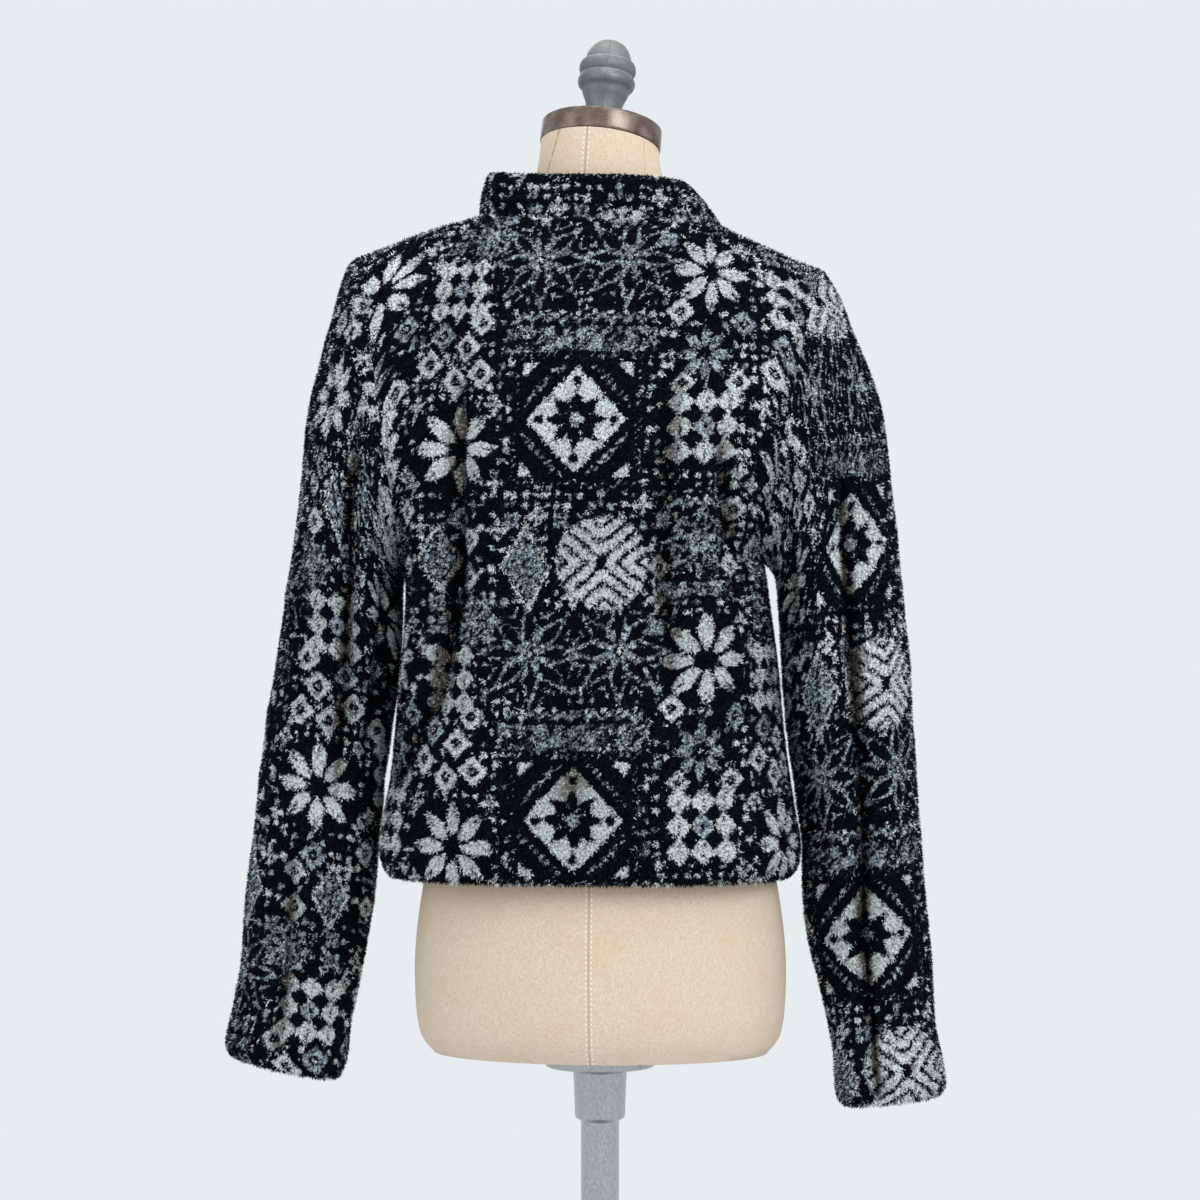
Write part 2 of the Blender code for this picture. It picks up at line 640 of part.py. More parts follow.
def build_buttons():
    """Six round buttons down the right front's edge, each square to the cloth."""
    for i in range(BUTTON_COUNT):
        height = BUTTON_LOW_Z + (BUTTON_HIGH_Z - BUTTON_LOW_Z) * i / (BUTTON_COUNT - 1)
        row = row_at_height(height)
        seat = body_point(-1, 0.0, row)
        normal = body_normal(-1, 0.0, row)
        seat += normal * BUTTON_GAP
        item = turned(f"button_{i + 1}", BUTTON_PROFILE, "button", seat, sides=BUTTON_SIDES)
        item.rotation_mode = "QUATERNION"
        item.rotation_quaternion = normal.to_track_quat("Z", "Y")


def row_at_height(height):
    """Row of the front's middle line that lies at a height, found by halving."""
    low = 0.0
    high = 2.0
    for _ in range(40):
        middle = (low + high) / 2
        if body_point(-1, 0.0, middle).z < height:
            low = middle
        else:
            high = middle
    return (low + high) / 2


def build_form():
    """Torso and neck of the form: one smooth closed body."""
    mesh = bmesh.new()
    rings = []
    for z, half, back, front, tip in FORM:
        forward = min(max((z - FORWARD_LOW_Z) / (CAP_SEAT_Z - FORWARD_LOW_Z), 0.0), 1.0) * CAP_TIP
        points = []
        for k in range(FORM_SIDES):
            angle = 2 * math.pi * k / FORM_SIDES
            x = half * math.sin(angle)
            y = (back if math.cos(angle) > 0 else front) * math.cos(angle)
            points.append(mesh.verts.new((x, y, z + tip * FORM_LEAN * x + forward * y)))
        rings.append(points)
    for lower, upper in zip(rings, rings[1:]):
        for k in range(FORM_SIDES):
            n = (k + 1) % FORM_SIDES
            mesh.faces.new((lower[k], lower[n], upper[n], upper[k]))
    mesh.faces.new(rings[0])
    mesh.faces.new(rings[-1])
    bmesh.ops.recalc_face_normals(mesh, faces=mesh.faces[:])
    return add_object("form_torso", mesh, "canvas")


def build_stand():
    """Cap and finial on the neck; pole, flange and base below."""
    seat = (0.0, 0.0, CAP_SEAT_Z + SEAM_GAP)
    cap = turned("form_cap", CAP_PROFILE, "cap_metal", seat, sides=CAP_SIDES)
    cap.rotation_euler = (math.atan(CAP_TIP), -math.atan(CAP_LEAN), 0.0)
    upward = cap.rotation_euler.to_matrix() @ Vector((0.0, 0.0, CAP_THICK + SEAM_GAP))
    finial = turned("form_finial", FINIAL_PROFILE, "cast_iron", cap.location + upward)
    finial.rotation_euler = cap.rotation_euler
    turned("form_pole", POLE_PROFILE, "steel", (0.0, 0.0, 0.0))
    turned("form_base", BASE_PROFILE, "cast_iron", (0.0, 0.0, 0.0), sides=BASE_SIDES)


clear_scene()
build_body()
build_sleeve("sleeve_left", 1)
build_sleeve("sleeve_right", -1)
build_collar()
build_buttons()
build_form()
build_stand()
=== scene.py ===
"""Looks of the pile-fleece cardigan on its dress form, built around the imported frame.

Metres, +Z up. The wearer's back faces +Y and the wearer's left is +X. The cardigan's surfaces
are worked out from the same sizes as the solids, on a finer grid, with pile, creases and a
knitted-in pattern of star, rose and snowflake motifs. Thousands of short tufts make its pile.
"""

import math

import bpy
import numpy as np
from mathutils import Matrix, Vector


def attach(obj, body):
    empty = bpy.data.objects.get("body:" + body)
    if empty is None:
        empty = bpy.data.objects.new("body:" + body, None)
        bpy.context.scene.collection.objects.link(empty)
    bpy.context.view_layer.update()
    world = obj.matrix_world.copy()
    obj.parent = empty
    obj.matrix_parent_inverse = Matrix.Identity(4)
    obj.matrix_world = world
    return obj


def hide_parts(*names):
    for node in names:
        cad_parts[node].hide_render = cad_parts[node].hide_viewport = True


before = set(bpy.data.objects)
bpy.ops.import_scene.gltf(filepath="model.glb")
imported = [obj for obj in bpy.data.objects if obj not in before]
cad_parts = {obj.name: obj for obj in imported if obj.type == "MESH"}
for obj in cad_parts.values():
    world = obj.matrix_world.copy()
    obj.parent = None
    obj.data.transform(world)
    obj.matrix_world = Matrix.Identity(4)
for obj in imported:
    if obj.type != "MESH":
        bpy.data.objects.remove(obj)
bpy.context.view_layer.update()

# Camera: the photograph's view, level, from behind and a little to the wearer's right
CAMERA_AZIMUTH = 185.0
CAMERA_REACH = 3.0
CAMERA_HEIGHT = 1.114
HALF_FRAME = 0.504
SENSOR = 36.0

# Cloth
FLEECE = 0.0035
HEM_THICK = 0.0085
COLLAR_THICK = 0.0075
SEAM_GAP = 0.0004
PITCH = 0.0030
COARSE = 3
ROUND_STEPS = 4
HEM_TURN = 0.026
HEM_EASE = 0.012
SEAM_EASE = 0.03
SLEEVE_SIDES = 150
SAMPLES = 400
LEVEL_SAMPLES = 300
UPWARD = np.array((0.0, 0.0, 1.0))

# Cardigan sizes, as the solids have them
HEM_Z = 0.882
UNDERARM_Z = 1.148
NECK_BACK_Z = 1.4285
NECK_FRONT_Z = 1.372
NECK_POINT = {1: (0.100, 1.437), -1: (0.101, 1.427)}
SHOULDER_TIP = {1: (0.1930, 1.406), -1: (0.1850, 1.389)}
SHOULDER_CROWN = {1: 0.003, -1: -0.001}
NECK_DEPTH = {1: 0.066, -1: 0.074}
NECK_SLOPE = {1: 42.0, -1: 68.0}
NECK_SHARE = 0.5
NECK_POWER = 1.6
ARMHOLE_DEPTH = 0.074
RING_POWER = 2.35
RISE_POWER = 2.4
CROWN_POWER = 0.7
EDGE_POWER = 3.0
NAPE_SPREAD = 0.44
NAPE_POWER = 8.0
EDGE_SOFTEN = 1.4
EDGE_BAND = 0.25
SEAM_FADE = 0.14
LAP = 0.0125
LAP_GAP = 0.0007
LAP_EASE = 0.030
SLEEVE_FADE = 0.12
ARMHOLE_FADE = 0.05
FOLD_END_FADE = 0.6
SHARE_STEP = 0.01
ROW_STEP = 0.01
TOP_BLEND = 0.03
SEAM_BLEND = 0.01
RUN_STEP = 0.004
TURN_STEP = 2.0

BODY_COLUMNS = ("z", "left", "right", "back", "front")
BODY = (
    (0.882, 0.1740, 0.1570, 0.119, 0.124),
    (0.892, 0.1815, 0.1645, 0.127, 0.132),
    (0.910, 0.1835, 0.1665, 0.130, 0.136),
    (0.946, 0.1785, 0.1605, 0.129, 0.136),
    (1.000, 0.1715, 0.1530, 0.124, 0.134),
    (1.060, 0.1650, 0.1475, 0.119, 0.130),
    (1.100, 0.1610, 0.1420, 0.117, 0.128),
    (1.148, 0.1615, 0.1355, 0.116, 0.126),
)
SLEEVE_COLUMNS = ("row", "top_x", "top_z", "under_x", "under_z", "depth", "mid_y")
SLEEVE = {
    1: (
        (0, 0.1930, 1.4060, 0.1615, 1.1480, 0.0740, 0.000),
        (1, 0.2110, 1.3950, 0.1650, 1.1435, 0.0735, 0.000),
        (2, 0.2233, 1.3540, 0.1679, 1.1380, 0.0720, 0.000),
        (3, 0.2346, 1.3160, 0.1694, 1.1310, 0.0700, -0.001),
        (4, 0.2448, 1.2780, 0.1702, 1.1210, 0.0670, -0.001),
        (5, 0.2500, 1.2270, 0.1702, 1.1060, 0.0630, -0.002),
        (6, 0.2573, 1.1770, 0.1702, 1.0850, 0.0590, -0.003),
        (7, 0.2655, 1.1140, 0.1721, 1.0480, 0.0550, -0.004),
        (8, 0.2743, 1.0640, 0.1776, 1.0080, 0.0520, -0.006),
        (9, 0.2820, 1.0130, 0.1834, 0.9660, 0.0500, -0.008),
        (10, 0.2883, 0.9630, 0.1879, 0.9240, 0.0480, -0.010),
        (11, 0.2942, 0.9120, 0.1929, 0.8800, 0.0465, -0.012),
        (12, 0.3003, 0.8660, 0.1989, 0.8390, 0.0450, -0.014),
        (13, 0.3060, 0.8200, 0.2074, 0.7970, 0.0430, -0.016),
        (14, 0.3123, 0.7750, 0.2154, 0.7560, 0.0415, -0.018),
        (15, 0.3206, 0.7390, 0.2214, 0.7170, 0.0400, -0.020),
        (16, 0.3150, 0.7250, 0.2279, 0.7060, 0.0345, -0.020),
    ),
    -1: (
        (0, 0.1850, 1.3890, 0.1355, 1.1480, 0.0740, 0.000),
        (1, 0.1975, 1.3700, 0.1425, 1.1425, 0.0735, 0.000),
        (2, 0.2085, 1.3410, 0.1480, 1.1350, 0.0720, 0.000),
        (3, 0.2190, 1.3160, 0.1505, 1.1260, 0.0700, -0.001),
        (4, 0.2318, 1.2780, 0.1512, 1.1150, 0.0670, -0.001),
        (5, 0.2390, 1.2270, 0.1515, 1.1000, 0.0630, -0.002),
        (6, 0.2450, 1.1770, 0.1522, 1.0780, 0.0590, -0.003),
        (7, 0.2520, 1.1140, 0.1540, 1.0440, 0.0550, -0.004),
        (8, 0.2570, 1.0640, 0.1585, 1.0020, 0.0525, -0.006),
        (9, 0.2600, 1.0130, 0.1640, 0.9590, 0.0505, -0.008),
        (10, 0.2640, 0.9630, 0.1695, 0.9150, 0.0490, -0.010),
        (11, 0.2680, 0.9120, 0.1718, 0.8720, 0.0475, -0.012),
        (12, 0.2715, 0.8660, 0.1755, 0.8300, 0.0460, -0.014),
        (13, 0.2750, 0.8150, 0.1860, 0.7850, 0.0440, -0.016),
        (14, 0.2785, 0.7660, 0.1945, 0.7400, 0.0420, -0.018),
        (15, 0.2880, 0.7130, 0.1995, 0.7000, 0.0400, -0.020),
        (16, 0.2830, 0.6980, 0.2060, 0.6890, 0.0345, -0.020),
    ),
}
COLLAR_TOP = {"left": 0.0925, "right": 0.0720, "back": 0.0635, "front": 0.070}
COLLAR_HEIGHT = 0.036
COLLAR_BOW = 0.002

# Folds as the solids have them: side, path of x and z, width, and depth, minus for a trough
BODY_FOLDS = (
    (1, ((0.107, 1.285), (0.111, 1.209), (0.113, 1.110), (0.131, 1.034), (0.168, 0.962)), 0.015, -0.0090),
    (1, ((0.138, 1.300), (0.140, 1.200), (0.140, 1.110), (0.150, 1.040)), 0.014, 0.0050),
    (1, ((0.086, 1.250), (0.084, 1.150), (0.088, 1.040), (0.100, 0.960)), 0.016, 0.0055),
    (1, ((-0.070, 1.300), (-0.066, 1.225), (-0.064, 1.140), (-0.070, 1.040)), 0.018, -0.0060),
    (1, ((-0.094, 1.290), (-0.090, 1.200), (-0.096, 1.080), (-0.100, 0.970)), 0.015, 0.0055),
    (1, ((-0.106, 1.250), (-0.112, 1.190), (-0.122, 1.150)), 0.011, -0.0070),
    (1, ((0.020, 1.060), (0.012, 0.985), (0.016, 0.925)), 0.026, -0.0045),
    (-1, ((0.112, 1.290), (0.114, 1.190), (0.108, 1.060), (0.120, 0.960)), 0.016, -0.0080),
    (-1, ((-0.106, 1.280), (-0.104, 1.190), (-0.094, 1.070), (-0.104, 0.960)), 0.016, -0.0080),
    (-1, ((0.078, 1.240), (0.074, 1.120), (0.066, 0.990)), 0.017, 0.0055),
    (-1, ((-0.070, 1.230), (-0.064, 1.110), (-0.058, 0.980)), 0.017, 0.0055),
)
# Folds of the sleeves: arm, path of turn in degrees and run, width, depth
SLEEVE_FOLDS = (
    (1, ((88, 0.10), (98, 0.30), (106, 0.46), (112, 0.60)), 13.0, -0.0075),
    (1, ((62, 0.16), (66, 0.36), (74, 0.56)), 14.0, 0.0045),
    (1, ((70, 0.66), (84, 0.82), (88, 0.94)), 14.0, -0.0050),
    (1, ((150, 0.26), (146, 0.40), (140, 0.55)), 15.0, -0.0050),
    (1, ((240, 0.14), (250, 0.34), (262, 0.56)), 15.0, -0.0070),
    (1, ((284, 0.60), (290, 0.78), (282, 0.92)), 15.0, -0.0050),
    (-1, ((70, 0.24), (78, 0.42), (82, 0.62), (98, 0.80), (108, 0.96)), 11.0, -0.0100),
    (-1, ((46, 0.30), (52, 0.50), (60, 0.74)), 14.0, 0.0045),
    (-1, ((112, 0.20), (112, 0.42), (114, 0.62)), 13.0, 0.0045),
    (-1, ((132, 0.14), (140, 0.30), (156, 0.44)), 12.0, -0.0060),
    (-1, ((250, 0.14), (256, 0.36), (268, 0.58)), 15.0, -0.0070),
    (-1, ((290, 0.58), (282, 0.76), (286, 0.92)), 15.0, -0.0050),
)
# Smaller creases that only the fine surface carries, in the same columns
BODY_CREASES = (
    (1, ((-0.118, 1.168), (-0.104, 1.152), (-0.088, 1.140)), 0.006, -0.0035),
    (1, ((0.128, 1.180), (0.112, 1.160), (0.098, 1.128)), 0.008, -0.0030),
    (1, ((0.150, 1.060), (0.128, 1.004), (0.090, 0.968)), 0.010, 0.0030),
    (1, ((0.040, 1.020), (0.052, 0.960), (0.050, 0.905)), 0.010, -0.0022),
    (1, ((-0.046, 0.980), (-0.052, 0.930), (-0.050, 0.896)), 0.008, -0.0020),
    (1, ((0.116, 0.950), (0.112, 0.920), (0.118, 0.892)), 0.007, -0.0022),
    (1, ((-0.120, 1.040), (-0.112, 0.980), (-0.118, 0.920)), 0.009, -0.0028),
    (1, ((0.060, 1.398), (0.078, 1.360), (0.088, 1.310)), 0.010, -0.0018),
    (1, ((-0.058, 1.396), (-0.070, 1.366), (-0.074, 1.330)), 0.009, -0.0018),
    (-1, ((0.120, 1.176), (0.102, 1.156), (0.088, 1.120)), 0.008, -0.0035),
    (-1, ((-0.112, 1.172), (-0.096, 1.150), (-0.082, 1.118)), 0.008, -0.0035),
    (-1, ((0.030, 0.990), (0.036, 0.940), (0.030, 0.900)), 0.009, -0.0022),
    (-1, ((-0.084, 1.000), (-0.090, 0.950), (-0.084, 0.905)), 0.009, -0.0024),
    (-1, ((0.140, 1.040), (0.128, 0.980), (0.132, 0.930)), 0.010, -0.0026),
)
SLEEVE_CREASES = (
    (1, ((40, 0.40), (70, 0.44), (100, 0.43)), 5.0, -0.0022),
    (1, ((118, 0.50), (98, 0.54), (76, 0.53)), 5.0, -0.0022),
    (1, ((150, 0.06), (120, 0.10), (100, 0.16)), 8.0, -0.0035),
    (1, ((50, 0.80), (80, 0.83), (118, 0.82)), 5.0, -0.0018),
    (1, ((30, 0.90), (62, 0.925), (96, 0.915)), 4.0, -0.0016),
    (1, ((230, 0.42), (262, 0.46), (300, 0.44)), 6.0, -0.0024),
    (1, ((210, 0.08), (236, 0.12), (256, 0.20)), 8.0, -0.0032),
    (-1, ((34, 0.44), (66, 0.47), (96, 0.46)), 5.0, -0.0022),
    (-1, ((120, 0.54), (98, 0.58), (70, 0.57)), 5.0, -0.0022),
    (-1, ((150, 0.05), (122, 0.09), (104, 0.16)), 8.0, -0.0040),
    (-1, ((44, 0.84), (76, 0.865), (112, 0.86)), 5.0, -0.0018),
    (-1, ((60, 0.925), (92, 0.94), (124, 0.93)), 4.0, -0.0015),
    (-1, ((230, 0.44), (262, 0.48), (300, 0.46)), 6.0, -0.0024),
    (-1, ((212, 0.08), (238, 0.12), (258, 0.20)), 8.0, -0.0032),
)

# Dress form: half width, reach to the back and front, and how far each section tips. The
# torso is slimmer where the cardigan hides it.
FORM_COLUMNS = ("z", "half", "back", "front", "tip")
FORM = (
    (0.7350, 0.1400, 0.092, 0.088, 0.0),
    (0.7480, 0.1505, 0.101, 0.096, 0.0),
    (0.7800, 0.1555, 0.107, 0.100, 0.0),
    (0.8300, 0.1550, 0.108, 0.100, 0.0),
    (0.8900, 0.1460, 0.099, 0.095, 0.0),
    (0.9500, 0.1310, 0.086, 0.090, 0.0),
    (1.0200, 0.1190, 0.077, 0.086, 0.0),
    (1.0900, 0.1220, 0.083, 0.096, 0.0),
    (1.1500, 0.1270, 0.090, 0.106, 0.0),
    (1.2100, 0.1345, 0.094, 0.108, 0.1),
    (1.2700, 0.1440, 0.094, 0.102, 0.3),
    (1.3200, 0.1510, 0.088, 0.090, 0.6),
    (1.3550, 0.1545, 0.078, 0.0745, 1.0),
    (1.3800, 0.1500, 0.062, 0.060, 1.0),
    (1.4000, 0.1340, 0.050, 0.049, 1.0),
    (1.4150, 0.1090, 0.046, 0.045, 1.0),
    (1.4290, 0.0810, 0.0475, 0.046, 1.0),
    (1.4450, 0.0640, 0.0490, 0.048, 1.0),
    (1.4620, 0.0555, 0.0500, 0.049, 1.3),
    (1.4800, 0.0512, 0.0500, 0.0495, 1.8),
    (1.4935, 0.0497, 0.0497, 0.0495, 2.15),
)
FORM_SIDES = 128
FORM_ROWS = 110
FORM_SLIM = 0.025
FORM_HIDE = (0.06, 0.02)
FORM_LEAN = 0.035
CAP_LEAN = FORM[-1][-1] * FORM_LEAN
FORWARD_LOW_Z = 1.430
CAP_TIP = 0.23
CAP_RADIUS = 0.0508
CAP_THICK = 0.0188
CAP_SEAT_Z = 1.4935

# Turned pieces as radius and height pairs, from the top down
FINIAL_PROFILE = (
    (0.0000, 0.0757), (0.0065, 0.0750), (0.0110, 0.0732), (0.0145, 0.0700), (0.0178, 0.0645),
    (0.0195, 0.0595), (0.0200, 0.0568), (0.0226, 0.0552), (0.0240, 0.0515), (0.0240, 0.0490),
    (0.0228, 0.0458), (0.0215, 0.0443), (0.0230, 0.0425), (0.0242, 0.0395), (0.0242, 0.0368),
    (0.0230, 0.0340), (0.0208, 0.0316), (0.0188, 0.0268), (0.0168, 0.0222), (0.0158, 0.0185),
    (0.0154, 0.0120), (0.0158, 0.0050), (0.0166, 0.0000), (0.0000, 0.0000),
)
CAP_PROFILE = ((0.0, CAP_THICK), (CAP_RADIUS, CAP_THICK), (CAP_RADIUS, 0.0), (0.0, 0.0))
POLE_PROFILE = (
    (0.0000, 0.7346), (0.0460, 0.7346), (0.0460, 0.7230), (0.0225, 0.7190), (0.0210, 0.6800),
    (0.0160, 0.6770), (0.0160, 0.0404), (0.0000, 0.0404),
)
BASE_PROFILE = (
    (0.0000, 0.0400), (0.0240, 0.0400), (0.0275, 0.0370), (0.0300, 0.0260), (0.0420, 0.0215),
    (0.1500, 0.0160), (0.1790, 0.0140), (0.1880, 0.0110), (0.1900, 0.0060), (0.1900, 0.0000),
    (0.0000, 0.0000),
)
BUTTON_PROFILE = (
    (0.0000, 0.0021), (0.0050, 0.0021), (0.0066, 0.0032), (0.0084, 0.0032), (0.0095, 0.0020),
    (0.0095, 0.0009), (0.0080, 0.0000), (0.0000, 0.0000),
)
CORNER_ROUND = {"cap": 0.0022, "pole": 0.0018, "base": 0.0040, "button": 0.0006}
CORNER_ROOM = 0.45
CORNER_SHARES = (0.0, 0.33, 0.67, 1.0)
TURNED_SIDES = 96
TURNED_SHARP = math.radians(42)
TORSO_SHARP = math.radians(50)
FINE_STEP = 0.0007

# Casting marks of the finial: a lip over each bead, and the mould's seam down two sides
FINIAL_LIPS = (0.0560, 0.0437)
LIP_WIDE = 0.0007
LIP_HIGH = 0.0006
MOULD_SEAM = math.radians(95.0)
MOULD_SEAM_WIDE = 0.03
MOULD_SEAM_HIGH = 0.00045
MOULD_SEAM_FROM = 0.008
MOULD_SEAM_STEP = 0.014
MOULD_SEAM_CLEAR = 0.012

# Buttons, each with four holes and two crossed threads
BUTTON_COUNT = 6
BUTTON_GAP = 0.0008
BUTTON_LOW_Z = 0.915
BUTTON_HIGH_Z = 1.350
BUTTON_SAMPLES = 3000
HOLES = ((-0.0019, -0.0019), (0.0019, -0.0019), (0.0019, 0.0019), (-0.0019, 0.0019))
HOLE_RADIUS = 0.0009
HOLE_SIDES = 24
HOLE_BOTTOM = 0.00175
HOLE_TOP = 0.00221
THREAD_Z = 0.00215
THREAD_RADIUS = 0.00042
THREAD_SIDES = 10
THREAD_RINGS = 7
THREAD_RISE = 0.0011
THREAD_SINK = 0.0007
THREAD_POWER = 0.6

# The sharper line down the middle of each trough, as shares of the trough's width and depth
CORE_WIDTH = 0.44
CORE_DEPTH = 0.75


def curve(t, first, first_slope, second, second_slope):
    """Smooth curve from a first to a second value, with a slope at each; t runs from 0 to 1."""
    return (
        (2 * t**3 - 3 * t**2 + 1) * first + (t**3 - 2 * t**2 + t) * first_slope
        + (3 * t**2 - 2 * t**3) * second + (t**3 - t**2) * second_slope
    )


def table_at(columns, rows, at):
    """Values of a table at places between its rows, on smooth curves through them."""
    values = np.array(rows, float)
    keys = values[:, 0]
    at = np.clip(at, keys[0], keys[-1])
    low = np.clip(np.searchsorted(keys, at, side="right") - 1, 0, len(keys) - 2)
    high = low + 1
    before = np.maximum(low - 1, 0)
    after = np.minimum(low + 2, len(keys) - 1)
    span = keys[high] - keys[low]
    found = {}
    for name, column in zip(columns[1:], values.T[1:]):
        low_slope = (column[high] - column[before]) / (keys[high] - keys[before]) * span
        high_slope = (column[after] - column[low]) / (keys[after] - keys[low]) * span
        found[name] = curve((at - keys[low]) / span, column[low], low_slope, column[high], high_slope)
    return found


def stack(x, y, z):
    """Points from three arrays that broadcast together."""
    return np.stack(np.broadcast_arrays(x, y, z), axis=-1).astype(float)


def unit(vectors):
    """Vectors brought to length one."""
    return vectors / np.maximum(np.linalg.norm(vectors, axis=-1, keepdims=True), 1e-12)


def smooth(value):
    """Soft step of a value that runs from 0 to 1."""
    value = np.clip(value, 0.0, 1.0)
    return value * value * (3 - 2 * value)


def fold_lift(folds, side, x, z, z_scale=1.0):
    """Height of all folds of one side at places, as the solids work it out."""
    total = np.zeros(np.broadcast(x, z).shape)
    for on_side, path, width, depth in folds:
        if on_side != side:
            continue
        best = np.full(total.shape, np.inf)
        reached = np.zeros(total.shape)
        passed = 0.0
        for a, b in zip(path, path[1:]):
            a_z = a[1] * z_scale
            run = (b[0] - a[0], b[1] * z_scale - a_z)
            length = math.hypot(*run)
            along = np.clip(((x - a[0]) * run[0] + (z - a_z) * run[1]) / length**2, 0.0, 1.0)
            gap = np.hypot(x - a[0] - along * run[0], z - a_z - along * run[1])
            nearer = gap < best
            best = np.where(nearer, gap, best)
            reached = np.where(nearer, passed + along * length, reached)
            passed += length
        middle = np.abs(2 * reached / passed - 1)
        total += depth * np.exp(-((best / width) ** 2)) * (1 - FOLD_END_FADE * middle**2)
    return total


def cores(folds):
    """The sharper lines down the middles of the troughs among some folds."""
    return tuple(
        (side, path, CORE_WIDTH * width, CORE_DEPTH * depth)
        for side, path, width, depth in folds if depth < 0
    )


def ring(left, right, depth, half, share):
    """Place on one half of a body section; share runs from -1, right seam, to 1, left seam."""
    angle = share * math.pi / 2
    across = np.sin(angle)
    out = np.cos(angle)
    size = (np.abs(across) ** RING_POWER + np.abs(out) ** RING_POWER) ** (-1 / RING_POWER)
    return (left - right) / 2 + (left + right) / 2 * size * across, half * depth * size * out


def lower_points(half, share, height):
    """Body surface between hem and underarm."""
    row = table_at(BODY_COLUMNS, BODY, height)
    depth = row["back"] if half > 0 else row["front"]
    x, y = ring(row["left"], row["right"], depth, half, share)
    return stack(x, y, height)


def neck_points(turn):
    """Neck seam; turn is in degrees from the back middle, plus on the wearer's left."""
    left = turn >= 0
    back = np.abs(turn) <= 90
    reach = np.where(left, NECK_POINT[1][0], NECK_POINT[-1][0])
    top = np.where(left, NECK_POINT[1][1], NECK_POINT[-1][1])
    angle = np.radians(turn)
    depth = np.where(back, NECK_DEPTH[1], NECK_DEPTH[-1])
    middle = np.where(back, NECK_BACK_Z, NECK_FRONT_Z)
    z = top + (middle - top) * np.abs(np.cos(angle)) ** NECK_POWER
    return stack(reach * np.sin(angle), depth * np.cos(angle), z)


def neck_outward(turn):
    """Level direction out of the neck ellipse."""
    angle = np.radians(turn)
    depth = np.where(np.abs(turn) <= 90, NECK_DEPTH[1], NECK_DEPTH[-1])
    return unit(stack(np.sin(angle) / NECK_POINT[1][0], np.cos(angle) / depth, 0.0))


def top_points(half, share):
    """Top edge of a panel: the neck seam, then the shoulder seam out to its tip."""
    side = np.where(share >= 0, 1, -1)
    turn = np.minimum(np.abs(share) / NECK_SHARE, 1.0) * 90
    neck = neck_points(side * (turn if half > 0 else 180 - turn))
    along = np.clip((np.abs(share) - NECK_SHARE) / (1 - NECK_SHARE), 0.0, 1.0)

    def pick(table, i=None):
        values = [table[key] if i is None else table[key][i] for key in (1, -1)]
        return np.where(share >= 0, values[0], values[1])

    x = pick(NECK_POINT, 0) + along * (pick(SHOULDER_TIP, 0) - pick(NECK_POINT, 0))
    z = pick(NECK_POINT, 1) + along * (pick(SHOULDER_TIP, 1) - pick(NECK_POINT, 1))
    z = z + pick(SHOULDER_CROWN) * np.sin(math.pi * along)
    shoulder = stack(side * x, 0.0, z)
    return np.where((np.abs(share) <= NECK_SHARE)[..., None], neck, shoulder)


def yoke_points(half, share, climb):
    """Body surface between underarm, climb 0, and the top seams, climb 1."""
    rise = (1 - np.cos(math.pi * climb)) / 2
    low = lower_points(half, share, np.full(np.shape(climb), UNDERARM_Z))
    top = top_points(half, share)
    soften = 1 + EDGE_SOFTEN * np.minimum((1 - np.abs(share)) / EDGE_BAND, 1.0)
    swell = np.maximum(np.sin(math.pi * climb), 0.0) ** soften
    edge = half * np.abs(share) ** EDGE_POWER * ARMHOLE_DEPTH * swell
    crown = np.maximum(1 - rise**RISE_POWER, 0.0) ** CROWN_POWER
    nape = half * NECK_DEPTH[half] * np.exp(-((share / NAPE_SPREAD) ** 2))
    top_y = nape + (top[..., 1] - nape) * rise**NAPE_POWER
    return stack(
        low[..., 0] + (top[..., 0] - low[..., 0]) * rise,
        top_y + (low[..., 1] - top_y) * crown + edge,
        low[..., 2] + (top[..., 2] - low[..., 2]) * rise,
    )


def body_points(half, share, row):
    """Body surface by row: 0 is the hem, 1 the underarm, 2 the top seams."""
    share, row = np.broadcast_arrays(share, row)
    lower = lower_points(half, share, HEM_Z + np.minimum(row, 1.0) * (UNDERARM_Z - HEM_Z))
    upper = yoke_points(half, np.clip(share, -1.0, 1.0), np.clip(row - 1, 0.0, 1.0))
    return np.where((row <= 1)[..., None], lower, upper)


def body_normals(half, share, row):
    """Outward directions of the body surface, the same from both sides of a seam."""
    share, row = np.broadcast_arrays(share, row)
    reach = np.where(row <= 1, 1.0 + SHARE_STEP, 1.0)
    near = body_points(half, np.maximum(share - SHARE_STEP, -reach), row)
    far = body_points(half, np.minimum(share + SHARE_STEP, reach), row)
    low = body_points(half, share, np.maximum(row - ROW_STEP, 0.0))
    high = body_points(half, share, np.minimum(row + ROW_STEP, 2.0))
    normals = unit(np.cross(high - low, far - near)) * half
    side = np.where(share > 0, 1, -1)
    turn = np.minimum(np.abs(share) / NECK_SHARE, 1.0) * 90
    at_top = neck_normals(side * (turn if half > 0 else 180 - turn))
    near_top = smooth((row - 2) / TOP_BLEND + 1)[..., None]
    return unit(normals * (1 - near_top) + at_top * near_top)


def neck_normals(turn):
    """Outward direction of the panels along the neck seam, and of the shoulder seam at its end."""
    left = turn >= 0

    def slope_of(side):
        drop = NECK_POINT[side][1] - SHOULDER_TIP[side][1]
        return math.atan2(drop, SHOULDER_TIP[side][0] - NECK_POINT[side][0])

    slope = np.where(left, slope_of(1), slope_of(-1))
    end = np.radians(np.where(np.abs(turn) <= 90, NECK_SLOPE[1], NECK_SLOPE[-1]))
    slope = slope + (end - slope) * np.abs(np.cos(np.radians(turn)))
    level = neck_outward(turn) * np.sin(slope)[..., None]
    return level + stack(0.0, 0.0, np.cos(slope))


